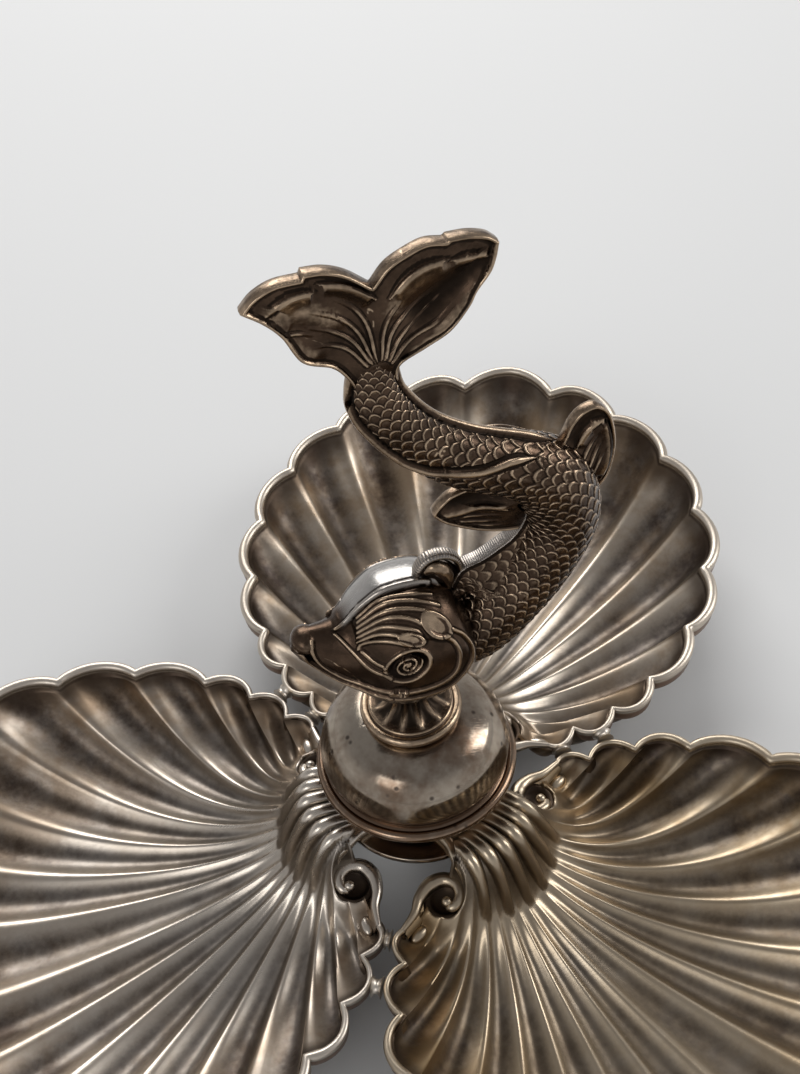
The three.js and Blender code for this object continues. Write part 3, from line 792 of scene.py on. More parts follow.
def clearVolutes(grid, below):
    # the sheet rises to each volute, and dips under its cup
    gap = np.hypot(grid[..., 0] - volute["centre"][0], np.abs(grid[..., 1]) - volute["centre"][1])
    start, end, tab = volute["moundStart"], volute["moundReach"], hinge["tabHalfWidth"]
    mound = volute["moundTop"] - volute["moundDrop"] * smoothStep(start, end, gap) - below
    onMound = 1 - smoothStep(end - volute["moundFade"], end, gap)
    onMound = onMound * smoothStep(tab - 1, tab + 1, np.abs(grid[..., 1]))
    rise = mound - grid[..., 2]
    grid[..., 2] += onMound * (rise + np.sqrt(rise**2 + volute["moundSoftness"] ** 2)) / 2
    floor = np.minimum(grid[..., 2], volute["cup"][0][1] - volute["dipDepth"] - below)
    grid[..., 2] += (floor - grid[..., 2]) * (1 - smoothStep(*volute["dip"], gap))


def dishShape():
    lobes = lobeSamples()
    base, radii, reach = dishInside(lobes)
    normals = surfaceNormals(base)
    normals = blurAcross(normals * np.sign(np.mean(normals[..., 2])), dish["samplesPerLobe"])
    hollow = fluteHollow(lobes)
    depth = dish["fluteDepth"] * reach * (1 - reach**8) * smoothStep(*dish["flutesDeepen"], radii)
    ribs = ribRelief(base, radii)
    lift = hinge["ribHeight"] * ribs - depth * hollow * (1 - ribs)
    inside = base + normals * lift[..., None]
    under = base - normals * (dish["metal"] + depth * hollow)[..., None]
    clearVolutes(inside, 0)
    clearVolutes(under, dish["metal"])
    # low relief in the flute hollows and between the hinge ribs, which the finish paints as dirt and
    # painted shade
    ribZone = smoothStep(4, 10, radii) * (1 - smoothStep(15, 29, radii))
    relief = 1 - hollow * smoothStep(*dish["flutesDarken"], radii)
    relief = relief * (1 - ribZone) + (0.12 + 0.88 * ribs) * ribZone

    # strips of the sheet, each with its relief, reach and outside
    strips = [(inside, relief, reach, 0.0)]
    rimX, rimY = rimOutline(lobes, lobeStandOut(lobes))
    outX, outY = outlineNormals(rimX, rimY)
    lip = dish["lipRadius"]
    slim = slimming(lobes)
    deep = (1 + slim) / 2  # the skirt slims less than the lip, so that it covers the sheet's edge
    roll = arc((lip, -lip), (-lip, lip), 205, -35, 14)
    edges = (
        (dish["wall"], slim, 0.0, 0.0), (roll, slim, 1.0, 0.3),
        (dish["skirt"], deep, 0.5, 1.0), (dish["tuck"], deep, 0.3, 0.0),
    )
    for points, drop, tone, outside in edges:
        for inset, height in points:
            x, y = rimX - outX * inset * slim, rimY - outY * inset * slim
            strips.append((np.stack([x, y, rimLine(rimX) + height * drop], -1)[None], tone, 1.0, outside))
    under, relief, reach = [rows[: -dish["underEnd"]][::-1] for rows in (under, relief, reach)]
    nearRim = smoothStep(0.7, 0.85, reach)
    strips.append((under, 0.5 + (relief - 0.5) * nearRim, reach, 1 - nearRim))

    def joined(index):
        return np.vstack([np.broadcast_to(strip[index], strip[0].shape[:2]) for strip in strips]).T

    shape = newShape()
    # a row for each place along the rim
    grid = np.vstack([strip[0] for strip in strips]).transpose(1, 0, 2)
    addGrid(shape, grid, relief=joined(1), reach=joined(2), outside=joined(3), columnLoop=True, capped=True)
    for side in (-1, 1):
        addVolute(shape, side)
        rib = smoothLine(hinge["outerRib"], 8) * [1, side, 1]
        tip = np.sqrt(np.clip(np.linspace(3, 0.1, len(rib)), 0, 1))
        addTube(shape, rib, hinge["outerRibRadius"] * tip, 16, 0.95)
    return shape


def lipEnd():
    # where the middle of the lip ends, beside the volute
    lobes = lobeSamples()
    rimX, rimY = rimOutline(lobes, lobeStandOut(lobes))
    outX, outY = outlineNormals(rimX, rimY)
    lip = dish["lipRadius"] * slimming(lobes)[-1]
    return rimX[-1] - outX[-1] * lip, rimY[-1] - outY[-1] * lip, rimLine(rimX[-1]) - lip


def addVolute(shape, side):
    # the rim's lip curls in round a deep cup, and ends at a small ball
    centre = np.array(volute["centre"])
    mirror = np.array([1, side, 1])
    points = [lipEnd()]
    for turn, radius, height in volute["curl"]:
        angle = math.radians(turn)
        points.append((centre[0] + radius * math.cos(angle), centre[1] + radius * math.sin(angle), height))
    line = smoothLine(points, 14)
    wire = np.interp(np.linspace(0, 1, len(line)), [0, 0.4, 1], volute["wire"])
    wire[-8:] *= np.sqrt(np.linspace(1, 0.1, 8))
    addTube(shape, line * mirror, wire, 20, 0.95)
    # the sheet between the curl and the dish
    web = volute["web"]
    outer = line[: web["samples"]]
    inner = np.column_stack([np.maximum(outer[:, 0], web["sheetEnd"]), outer[:, 1]]) - centre
    inner *= np.maximum(web["clear"] / np.linalg.norm(inner, axis=1, keepdims=True), 1)
    inner = np.column_stack([inner + centre, np.full(len(outer), web["inside"])])
    middle = (outer + inner) / 2 - [0, 0, web["sag"]]
    drop = np.array([0, 0, web["metal"]])
    sheet = np.stack([outer, middle, inner, inner - drop, outer - drop], 1)
    addGrid(shape, sheet * mirror, relief=0.7, reach=0.8, columnLoop=True, capped=True)
    addBall(shape, volute["ball"] * mirror, [volute["ballRadius"]] * 3, 0.95)
    addBall(shape, volute["bud"] * mirror, volute["budRadii"], 0.95)
    # the cup's low relief and full reach make the finish paint it dark, with dirt and painted shade
    cup = np.array(volute["cup"])
    bowl = ringPoints(cup[:, :1], cup[:, 1:], fullTurn(40))
    addGrid(shape, bowl + [centre[0], side * centre[1], 0], relief=0.02, reach=1.0, columnLoop=True)


def makeDishes():
    shape = dishShape()
    for name, angle in dish["angles"].items():
        setPiece("fluted_dish_" + name, shape, shellSilver(name), "silver_dishes", "shell_dish_" + name,
                 turn=math.radians(angle), place=(middleX, 0, datum), sharpAngle=75)
    print("three shell dishes made")


# Dome: a bun on a beaded flange

dome = {
    "skirt": 18.6, "skirtBottom": -9.7, "flange": 25.7, "bead": 1.5, "bodyInset": 1.8,
    "skirtTop": [(0, -1.2), (0.9, -0.3)],  # out from the skirt, and its height
    "valley": [(-0.75, 2.75), (-1.15, 2.95)],  # between the bead and the bun, from the bead's middle
    "bulge": [(0.93, 0.15), (0.975, 0.22), (1, 0.34), (0.985, 0.46), (0.93, 0.63), (0.8, 0.82),
              (0.62, 0.93), (0.42, 0.985), (0.2, 1)],
}


def makeDome():
    bead, skirt, bottom = dome["bead"], dome["skirt"], dome["skirtBottom"]
    edge = dome["flange"] - bead
    profile = [(rodBore, bottom), (skirt, bottom)]
    profile += [(skirt + out, height) for out, height in dome["skirtTop"]] + [(edge - 0.6, 0)]
    profile += arc((edge, bead), (bead, bead), -90, 100, 14)
    profile += [(edge + out, height) for out, height in dome["valley"]]
    profile += list(smoothLine(dome["bulge"], 8) * [dome["flange"] - dome["bodyInset"], domeHeight])
    profile = np.array(profile + [(rodBore, domeHeight), (rodBore, bottom)])
    radius, height = profile[:, :1], profile[:, 1:]
    # a rubbed bead, a dirty valley above it, and a dark brown underside, painted shade under the flange;
    # copper towards the bottom, partly tarnish and partly a painted dark reflection
    valley = np.exp(-((height - dome["valley"][0][1] - 0.15) / 0.5) ** 2)
    relief = np.clip((0.6 + 0.35 * (radius > edge) - 0.6 * valley) * (height > -0.1), 0, 1)
    copperTarnishAndShade = 0.8 - 0.8 * smoothStep(0.1, 0.6, height / domeHeight)
    shape = turnedShape(profile, 160, relief=relief, reach=copperTarnishAndShade)
    setPiece("dome_and_flange", shape, bunSilver(), "silver_dome", "centre_dome", place=(middleX, 0, datum))
    print("dome made")


# Collar: a moulded ring, a fluted waist and a small ring at the neck

collar = {
    "seatGap": 0.3, "height": 12, "ring": 12.5, "ringBead": 1.25, "neck": 5.2, "neckBead": (0.9, 0.72),
    "flutes": 12,
    # share of the ring's radius, share of the height, depth of the flutes
    "waist": [(0.78, 0.27, 0.1), (0.7, 0.33, 1.3), (0.57, 0.46, 1.9), (0.47, 0.6, 1.5), (0.44, 0.74, 0.9),
              (0.43, 0.82, 0.4)],
    "lighter": 0.14,
}


def makeCollar():
    ring, bead, neck, height = [collar[name] for name in ("ring", "ringBead", "neck", "height")]
    base = [(rodBore, 0), (ring * 0.9, 0)] + arc((ring - bead, bead), (bead, bead), -80, 80, 11)
    base += [(ring * 0.86, 2.35), (ring * 0.84, 2.2)]
    base += arc((ring * 0.8 - 0.1, 2.75), (0.5, 0.45), -60, 90, 6)
    top = [(neck + 0.1, height * 0.86)] + arc((neck, height * 0.93), collar["neckBead"], -70, 70, 8)
    top += [(neck + 0.2, height), (rodBore, height), (rodBore, 0)]
    waist = smoothLine(collar["waist"], 5) * [ring, height, 1]
    plain = [np.column_stack([points, np.zeros(len(points))]) for points in (base, top)]
    profile = np.vstack([plain[0], waist, plain[1]])
    angle = fullTurn(collar["flutes"] * 16)
    hollow = np.abs(np.sin(angle * collar["flutes"] / 2)) ** 0.8
    grid = ringPoints(profile[:, :1] - profile[:, 2:] * hollow, profile[:, 1:2], angle)
    relief = 0.85 - 0.8 * np.clip(profile[:, 2:], 0, 1) * smoothStep(0.3, 0.9, hollow)
    finish = oxidisedSilver("collar_silver", collar["lighter"])
    setPiece("collar_and_rings", oneGrid(grid, relief=relief, columnLoop=True), finish, "silver_handle",
             "fluted_collar", place=(middleX, 0, datum + domeHeight + collar["seatGap"]))
    print("collar made")


# Dolphin: scaled body, head, crest, tail and two fins, drawn from the chin in the plane of its curve

dolphin = {
    # middle of the body, then its half depth in the plane of the curve and half thickness across it
    "body": [
        (0.3, 101, 2.6, 1.2), (-0.4, 94, 4.2, 2.6), (0.1, 85.1, 5.6, 4.2), (6.4, 74.7, 6.1, 5.2),
        (16.6, 65.5, 7, 6.2), (27.8, 59.6, 7.6, 7.4), (35.2, 53.2, 8.8, 8.6), (38, 43, 8.8, 9),
        (34.2, 33, 8.8, 9.2), (27, 23.5, 9.2, 9.6), (16.9, 14.4, 9.4, 9.8), (8, 11, 8, 8.5),
    ],
    # upright slices of the head: place, top, bottom, half thickness
    "head": [
        (14, 24, 5, 10), (11, 30, 2, 12.4), (6.5, 33.4, -0.6, 14.2), (2, 34.6, -1.4, 14.8),
        (-4, 34.2, -0.8, 14.6), (-9, 31, 2, 12.4), (-13, 27.4, 5.2, 8.8), (-17, 26.8, 8.6, 6),
        (-21, 27, 14.4, 4.2), (-24, 26.2, 18.8, 3), (-25.8, 24, 21, 1.4),
    ],
    "snoutBall": (-22.3, 0, 24.3), "snoutRadii": (3.3, 3.9, 2.9),
    "scalesAround": (19, 13),  # on the lower body, and on the slimmer part past the fins
    "scaleShift": 0.54,  # share of the body, from the head, where the second number takes over
    "scaleSpacing": 0.72,  # rows along the body, as a share of a scale's width
    "scaleLift": 0.25,  # of a scale's width
    # keels on the near side and their mirror images: share from the tail, then degrees round the body
    "backKeel": [(0.06, 180), (0.2, 176), (0.36, 172), (0.49, 184)],
    "flankKeel": [(0.03, 16), (0.09, 2), (0.12, -14), (0.16, -32), (0.23, -41), (0.27, -58), (0.3, -77),
                  (0.35, -99), (0.4, -124), (0.46, -143)],
    "keelHalfWidth": 0.85, "keelHeight": 0.75, "keelGroove": -0.55, "keelGrooveEnd": 2.1,
    "rowsPerScale": 11, "bodySides": 260, "headSlices": 260, "headSides": 400,
}
scale = {"length": 1.15, "halfWidth": 0.56, "edge": 0.88, "edgeHalfWidth": 0.12}  # in rows and in columns


def scaleRelief(along, around):
    # overlapping scales, each lying on the next towards the tail, with a raised free edge
    height = np.zeros(along.shape)
    tone = np.full(along.shape, 0.1)
    covered = np.zeros(along.shape, bool)
    beyond = np.full(along.shape, 9.0)  # how far outside the edges of the scales on top
    nearest = np.floor(along)
    for step in (-1, 0, 1):
        row = nearest + step
        forward = (along - row) / scale["length"]
        sideways = around - 0.5 * (row % 2)
        sideways = (sideways - np.round(sideways)) / scale["halfWidth"]
        distance = np.hypot(forward, sideways)
        edge = roundRidge(distance - scale["edge"], scale["edgeHalfWidth"]) * smoothStep(-0.3, 0.3, forward)
        pillow = 1 - np.minimum(distance, 1) ** 2
        # painted shadow just past the edge of the scale on top; the tone is darker at each scale's root and
        # lighter at its free edge, partly painted shading and partly rubbing
        shadow = 1 - smoothStep(0, 0.24, beyond)
        shown = (distance < 1) & ~covered
        height = np.where(shown, 0.3 + 0.35 * forward + 0.25 * pillow + 0.25 * edge, height)
        tone = np.where(shown, 0.3 + 0.44 * forward + 0.2 * pillow + 0.24 * edge - 0.4 * shadow, tone)
        covered |= shown
        beyond = np.where(distance < 1, beyond, np.minimum(beyond, distance - 1))
    return height, tone


def bodyShape():
    line = smoothLine(dolphin["body"], 40)[::-1]
    lengths = lengthsAlong(line[:, :2])
    share = lengths / lengths[-1]
    girth = 2 * math.pi * np.sqrt((line[:, 2] ** 2 + line[:, 3] ** 2) / 2)
    width = girth / np.where(share < dolphin["scaleShift"], *dolphin["scalesAround"])
    scaleRows = runningTotal(np.diff(lengths) / (width[1:] * dolphin["scaleSpacing"]))
    samples = np.arange(0, scaleRows[-1], 1 / dolphin["rowsPerScale"])
    x, z, depth, thick = [np.interp(samples, scaleRows, line[:, column])[:, None] for column in range(4)]
    share = np.interp(samples, scaleRows, share)[:, None]
    width = np.interp(samples, scaleRows, width)[:, None]
    # angle 0 looks into the hollow of the curve, three quarters of a turn looks at the camera
    angle = fullTurn(dolphin["bodySides"])
    grid = sweepAlong(np.hstack([x, z]), thick * np.sin(angle), depth * np.cos(angle))
    normals = surfaceNormals(np.concatenate([grid[:, -1:], grid, grid[:, :1]], 1))[:, 1:-1]
    normals = facingOut(normals, grid, np.stack([x, 0 * x, z], -1))
    around = angle / (2 * math.pi) * np.where(share < dolphin["scaleShift"], *dolphin["scalesAround"])
    scales, relief = scaleRelief(samples[:, None] + 0 * around, around)
    lift = (scales - 1) * dolphin["scaleLift"] * width
    # keels: a bright one along the back of the raised tail, and one that winds across each flank
    fromTail = 1 - share
    radius = np.hypot(depth * np.sin(angle), thick * np.cos(angle))
    for name, mirror in (("backKeel", 1), ("flankKeel", 1), ("flankKeel", -1)):
        places, turns = np.array(dolphin[name]).T
        turn = (np.degrees(angle) - mirror * np.interp(fromTail, places, turns) + 180) % 360 - 180
        gap = np.radians(turn) * radius
        shown = smoothStep(places[0] - 0.02, places[0], fromTail)
        shown = shown * (1 - smoothStep(places[-1] - 0.05, places[-1], fromTail))
        halfWidth = dolphin["keelHalfWidth"] * np.maximum(shown, 0.01)
        ridge = roundRidge(gap, halfWidth)
        beside = (np.abs(gap) < dolphin["keelGrooveEnd"] * halfWidth) & (ridge == 0)
        lift = np.where(ridge > 0, np.maximum(lift, dolphin["keelHeight"] * ridge * shown), lift)
        lift = np.where(beside, dolphin["keelGroove"], lift)
        relief = np.where(ridge > 0, 0.4 + 0.6 * ridge, relief)
        relief = np.where(beside, 0.05, relief)
    return grid + normals * lift[..., None], relief


mane = {
    # the plated strip from the crest up the neck, then its cross-section: half width, height over the strip
    "line": [(11.6, 29.5), (13.4, 33), (15.4, 34.5), (18.9, 35.4), (22.6, 37.3), (26, 39.6), (28.4, 43),
             (29.6, 47)],
    "section": [(0, 0.1), (0.9, 0.05), (1.6, -0.05), (1.95, -0.3), (2.05, -0.7), (2.2, -1.1), (2.6, -2),
                (3.2, -3.2), (4, -4.6), (5, -6.2), (6.2, -8.5)],
    "stripWidth": 1.9, "millPitch": 0.5, "millDepth": 0.09,
    "groove": 2.05, "grooveHalfWidth": 0.12,
    "scaleLength": 2.0, "scaleWidth": 2.8, "scaleDepth": 0.14,
}


def addMane(shape):
    line = smoothLine(mane["line"], 30)
    length = lengthsAlong(line)[:, None]
    near = smoothLine(mane["section"], 6)
    section = np.vstack([near[::-1] * [-1, 1], near[1:]])
    across, height = section.T
    milled = np.abs(np.sin(math.pi * length / mane["millPitch"]))
    onStrip = (np.abs(across) < mane["stripWidth"]) + 0 * length
    down = lengthsAlong(section)
    scales, scaleTone = scaleRelief(
        length / mane["scaleLength"] + 0 * down, down / mane["scaleWidth"] + 0 * length
    )
    rise = height + onStrip * mane["millDepth"] * milled
    sideways = across * (1 + mane["scaleDepth"] * (scales - 1) * (1 - onStrip))
    groove = (np.abs(np.abs(across) - mane["groove"]) < mane["grooveHalfWidth"]) + 0 * length
    relief = onStrip * (0.45 + 0.4 * milled) + (1 - onStrip) * scaleTone * (1 - groove)
    addGrid(shape, sweepAlong(line, sideways, rise), relief=relief, outside=0.55 * onStrip)


headMarks = {
    # lines on the head: place along it, then girth above the middle of the cheek
    "plume": [
        [(-10.2, 18.6), (-6, 19.2), (-0.2, 18.2), (5.8, 17.2)],
        [(-10.4, 17.4), (-5.2, 17.9), (1.4, 16.6), (6.8, 14.8)],
        [(-10.8, 16.2), (-5.6, 16.4), (0.8, 15.1), (5.4, 13.2), (7.6, 10.4)],
        [(-11.1, 15), (-6, 15.1), (-1, 13.8), (2.2, 11.6), (3.6, 9.0)],
        [(-11.4, 13.8), (-7, 13.9), (-3, 12.5), (0.4, 10.9), (1.4, 9.6)],
        [(-11.7, 12.6), (-8, 12.8), (-4.2, 11.4), (-1.4, 9.6)],
    ],
    "lid": [[(-11.9, 10.6), (-11.2, 11.7), (-8.6, 11.6), (-4.8, 10.2), (-1.6, 8.6)]],
    "lowerLid": [[(-11.3, 9.8), (-9.6, 7.0), (-7.6, 5.3)]],
    "gills": [
        [(6.2, 8.6), (8.2, 6.8), (9.1, 3.4), (7.6, -0.4), (2.8, -2.0), (-3.6, -1.9), (-5.6, -1.9)],
        [(8.4, 9.6), (11, 7.6), (12.6, 3.8), (11.8, -1.0), (7.6, -4.4), (1.6, -4.8), (-4.4, -4.4),
         (-7.4, -4.4)],
    ],
    "lips": [
        [(-21.2, 14), (-21.6, 6), (-20.2, -0.4), (-16.4, -2.0), (-11.4, -1.6), (-5.6, -1.9)],
        [(-24, 4), (-22.6, -3.6), (-19, -6.2), (-13.7, -5.2), (-7.4, -4.4)],
    ],
    "cheek": [[(-15.9, 16.6), (-13.3, 10.2), (-10.8, 5.1), (-7.0, 2.7)]],
    "browRim": [[(-15.5, 18.4), (-12.4, 20.0), (-8, 20.6), (-1.3, 20.5), (6, 20.2)]],
    # half width and height of each kind of line
    "sizes": {"plume": (0.48, 0.6), "lid": (0.5, 0.6), "lowerLid": (0.55, 0.5), "gills": (0.6, 0.7),
              "lips": (0.62, 0.7), "cheek": (0.55, 0.45), "browRim": (0.75, 1.1)},
    "mouth": [(-23, 7), (-21.8, -1.4), (-18.8, -4.2), (-13, -3.5), (-7, -3.1)],
    "capEdge": [(-15.5, 18.4), (-12.4, 20.0), (-8, 20.6), (6, 20.2), (12, 18)],
    "leafEdge": [(-12, 12.6), (-8, 12.4), (-4, 10.8), (0, 9.6), (3, 8.8), (8, 8.6)],
    # ovals: middle, radii, tilt in degrees
    "lobes": [
        ((4.9, 11.0), (3.5, 2.3), -42), ((-1.0, 9.7), (2.9, 1.2), -22), ((-5.6, -1.7), (1.9, 0.9), 12),
    ],
    "eye": ((-2.8, 4.5), (4.6, 2.9), 8),
    "eyeTurns": 3.2, "eyeDepth": 0.9,
    "girthScale": 14,  # millimetres of girth for each radian round the head
}


def ovalDistance(x, y, centre, radii, tilt):
    turn = math.radians(tilt)
    along = (x - centre[0]) * math.cos(turn) + (y - centre[1]) * math.sin(turn)
    across = (y - centre[1]) * math.cos(turn) - (x - centre[0]) * math.sin(turn)
    return np.hypot(along / radii[0], across / radii[1]), np.arctan2(across / radii[1], along / radii[0])


def headShape():
    sections = smoothLine(dolphin["head"], 14)
    slices = np.linspace(sections[0, 0], sections[-1, 0], dolphin["headSlices"])[:, None]
    sections = sections[np.argsort(sections[:, 0])].T
    top, bottom, thick = [np.interp(slices, sections[0], values) for values in sections[1:]]
    taper = np.sqrt(np.clip((slices + 26) / 1.6, 0.02, 1))  # the snout's round tip
    angle = fullTurn(dolphin["headSides"], 0.5)
    middle, half = (top + bottom) / 2, (top - bottom) / 2 * taper
    grid = np.stack([slices + 0 * angle, thick * taper * np.sin(angle), middle + half * np.cos(angle)], -1)
    place = grid[..., 0]
    girth = math.pi / 2 - np.abs((angle + math.pi) % (2 * math.pi) - math.pi)
    girth = headMarks["girthScale"] * girth + 0 * slices
    # the cap reaches further down on the far side
    girth += (np.sin(angle) > 0) * 10 * smoothStep(8, 20, girth)
    lift = np.zeros(place.shape)
    relief = np.full(place.shape, 0.5)

    def addRidges(mark):
        # raises each line of a kind, with a groove beside it, and gives back the last one
        nonlocal lift, relief
        width, height = headMarks["sizes"][mark]
        for points in headMarks[mark]:
            gap, _ = distanceToLine(smoothLine(points, 8), place, girth)
            ridge = roundRidge(gap, width)
            lift = np.where(ridge > 0, np.maximum(lift, lift * 0.3 + height * ridge), lift)
            shown = ridge * (gap <= width) + relief * (gap > width)
            relief = np.maximum(relief * (gap > width * 0.2), shown)
            relief = np.where((gap > width) & (gap < width * 1.5), np.minimum(relief, 0.15), relief)
        return ridge

    # the brow: a smooth cap with a raised edge
    edge = np.interp(place, *np.array(headMarks["capEdge"]).T)
    cap = smoothStep(0, 1.2, girth - edge) * smoothStep(-16, -14, place) * (1 - smoothStep(7.5, 9.5, place))
    lift += 0.9 * cap
    relief = np.maximum(relief, 0.6 * cap)
    rim = addRidges("browRim") * smoothStep(-15, -12, place)
    # plating on the brow, partly a painted highlight on the top of the head
    platingAndSheen = np.maximum(cap * smoothStep(-14, -9, place), 0.8 * rim)
    # the plume of ribs above the eye, a raised leaf with two scooped ends
    edge = np.interp(place, *np.array(headMarks["leafEdge"]).T)
    leaf = smoothStep(-12.2, -10.8, place) * (1 - smoothStep(5, 8, place))
    leaf = leaf * smoothStep(-0.5, 0.2, girth - edge) * (1 - smoothStep(18.6, 19.4, girth))
    lift += 0.45 * leaf
    relief = np.where(leaf > 0.5, 0.42, relief)
    addRidges("plume")
    for oval in headMarks["lobes"]:
        distance, turn = ovalDistance(place, girth, *oval)
        ahead = smoothStep(-0.6, 0.3, np.cos(turn))
        rim = roundRidge(distance - 0.86, 0.2) * ahead
        inside = smoothStep(1.1, 1.0, distance)
        lift += (1.0 + 0.35 * rim - 0.35 * smoothStep(0, 1, 1 - distance) - lift) * inside
        around = smoothStep(1.02, 1.1, distance) * smoothStep(1.4, 1.25, distance) * ahead
        relief += (0.93 - 0.45 * roundRidge(distance - 0.62, 0.12) * ahead - relief) * inside
        relief += (0.06 - relief) * around
    addRidges("lid")
    addRidges("lowerLid")
    # the eye: a sunk oval with a spiral in it
    distance, turn = ovalDistance(place, girth, *headMarks["eye"])
    lift = np.where(distance < 1, -headMarks["eyeDepth"] * smoothStep(0, 0.25, 1 - distance), lift)
    relief = np.where(distance < 1, 0.08, relief)
    rim = roundRidge(distance - 1.08, 0.14)
    lift += 0.55 * rim
    relief = np.maximum(relief, rim)
    winding = distance * headMarks["eyeTurns"] - turn / (2 * math.pi)
    spiral = roundRidge(np.abs((winding + 0.2) % 1 - 0.5) * 2, 0.62) * (distance < 0.74)
    spiral = np.maximum(spiral, roundRidge(distance, 0.2))
    lift += 0.85 * spiral
    relief = np.maximum(relief, spiral * 0.95)
    # gills, lips, the mouth between them, and the cheek line
    addRidges("gills")
    addRidges("lips")
    gap, _ = distanceToLine(smoothLine(headMarks["mouth"], 8), place, girth)
    groove = roundRidge(gap, 0.55)
    lift -= 0.9 * groove
    relief = np.where(groove > 0, 0.02, relief)
    addRidges("cheek")
    normals = facingOut(surfaceNormals(grid), grid, np.stack([slices, 0 * slices, middle], -1))
    return grid + normals * lift[..., None], relief, platingAndSheen


fins = {
    "tail": {
        "root": (0.2, 96), "rimHalf": 1.6, "webHalf": 0.7, "rootHalf": 2.3,
        "outline": [
            [(-4.2, 90.5), (-5.5, 93.6), (-8, 97), (-13.2, 99.9), (-16.1, 106.2), (-18.9, 109.9),
             (-22.4, 113)],
            [(-22.4, 113), (-19.7, 115.5), (-15.9, 117), (-11.2, 117)],
            [(-10.8, 117.9), (-7, 117.4), (-3.2, 115.6), (0.9, 112)],
            [(0.9, 112), (3.8, 115.2), (7.7, 117.1), (11.1, 118), (14.7, 117.4)],
            [(15, 117.9), (18.9, 117.6), (22.3, 116.5), (24.3, 114.9)],
            [(24.3, 114.9), (23.7, 111.8), (22.6, 109), (20, 105.7), (18.5, 102.9), (14.7, 98.6),
             (9.8, 96.2), (4.8, 93.9), (4, 90.5)],
        ],
        # second ridges inside the upper edges, then the lower edges
        "ridges": [
            [(-18.7, 111.4), (-14.8, 113.4), (-12.1, 113.9), (-9.1, 113.5)],
            [(-8.4, 114.9), (-4.7, 113.8), (-1.6, 111.9), (1.3, 109)],
            [(4, 108.7), (7.3, 111.9), (10.8, 113.5), (14.9, 113.7)],
            [(15.5, 113.3), (18.8, 113), (22.6, 112.4)],
            [(21.6, 109.2), (19, 105.9), (17.2, 102.9), (13.8, 99.6), (9.4, 97.4), (5, 95.6)],
            [(-17.5, 110.3), (-17.6, 108.8), (-15.2, 106.4)],
        ],
        # broad hollows and swells of the web: a line, how wide, how high
        "waves": [
            ([(6.5, 101.6), (11, 105.4), (16, 108.6), (20.5, 110.3)], 2.4, -0.5),
            ([(2.2, 102), (5, 107.4), (9.6, 110.8), (14.6, 112.2)], 2.6, 0.45),
            ([(-3.4, 103), (-8, 108.4), (-13.6, 111), (-17.6, 111)], 3.0, 0.5),
            ([(-9, 98.8), (-13, 102.2), (-15.6, 105.4)], 2.6, 0.45),
            ([(9, 98.2), (14, 101), (17.6, 104.6), (20.6, 108.6)], 1.6, 0.5),
        ],
        "rays": [
            [(-0.1, 97), (-0.6, 103.7), (-2.6, 108.3), (-6, 111.4)],
            [(-0.7, 97), (-2.3, 102.9), (-5.6, 107.4), (-10.2, 110)],
            [(-1.2, 97), (-3.5, 101.6), (-7.1, 104.9), (-10.8, 106.6)],
            [(-1.8, 96.4), (-4.5, 100.2), (-7.4, 101.9), (-10.4, 102.5)],
            [(-15.7, 106.5), (-13.4, 106.3), (-10.8, 105.1)],
            [(1.1, 97), (1.9, 101.5), (3.6, 105.2), (5.6, 107.4)],
            [(1.8, 97), (3.3, 101.1), (6.5, 104.7), (10.8, 107.4)],
            [(2.5, 96.4), (5.1, 100.2), (9.2, 103.4)],
            [(3, 95.6), (6.6, 98.9), (11.8, 101.2), (15.4, 104.2)],
        ],
    },
    "inner": {
        "root": (27, 49.5), "rimHalf": 1.4, "webHalf": 0.65, "rootHalf": 2.2,
        "outline": [
            [(31, 57.5), (22, 58), (14.1, 57.1), (11, 55.3), (8.9, 52.8), (9.5, 51.1), (12.4, 48.2),
             (18.5, 44.3), (25.3, 41.6), (32, 41)],
        ],
        "ridges": [[(9.7, 51.2), (14.3, 51), (19.6, 51.2), (26, 49)]],
        "waves": [([(10.5, 53.4), (15, 54.4), (22, 54.6), (28, 54)], 2.2, -0.5)],
        "rays": [
            [(12.6, 49.8), (17, 49.2), (24, 47.4)], [(14, 48.4), (18.5, 47.2), (24.5, 45.4)],
            [(16, 46.9), (20, 45.4), (25, 43.7)],
        ],
    },
    "outer": {
        "root": (42, 54), "rimHalf": 1.4, "webHalf": 0.65, "rootHalf": 2.2,
        "outline": [
            [(35, 52), (34.4, 58), (37.4, 62.9), (39.3, 67.3), (41.8, 70), (45.2, 70.4), (48.1, 67.1),
             (49.6, 60), (49.2, 53.4), (47.3, 48.2), (42, 44.6)],
        ],
        "ridges": [
            [(40.6, 60.3), (42.7, 64), (45.3, 65.9), (47, 66.4)],
            [(47, 66), (48.2, 60), (47.8, 54.5), (46.3, 50)],
        ],
        "waves": [([(39, 60), (41.6, 65.4), (44.6, 68)], 1.6, -0.3)],
        "rays": [
            [(41, 55.5), (43.2, 59.6), (45.6, 63)], [(42.6, 53.6), (44.6, 57.8), (46.4, 61.4)],
            [(43.8, 51.8), (45.5, 55.5), (47, 58.8)],
        ],
    },
}
finEdge = {
    # from the outline inwards: the rim's middle, half width and end, then the end of the groove beside it
    "rimMiddle": 0.42, "rimHalfWidth": 0.46, "rimEnd": 0.88, "grooveEnd": 1.6,
    "ridgeHeight": 0.9, "ridgeSteep": 0.75, "ridgeSoft": 1.7,
    "rayHalfWidth": 0.42, "rayGroove": 0.35,
    "steps": 76, "crowding": 1.25,  # points from the root to the edge, and how they crowd at the edge
}


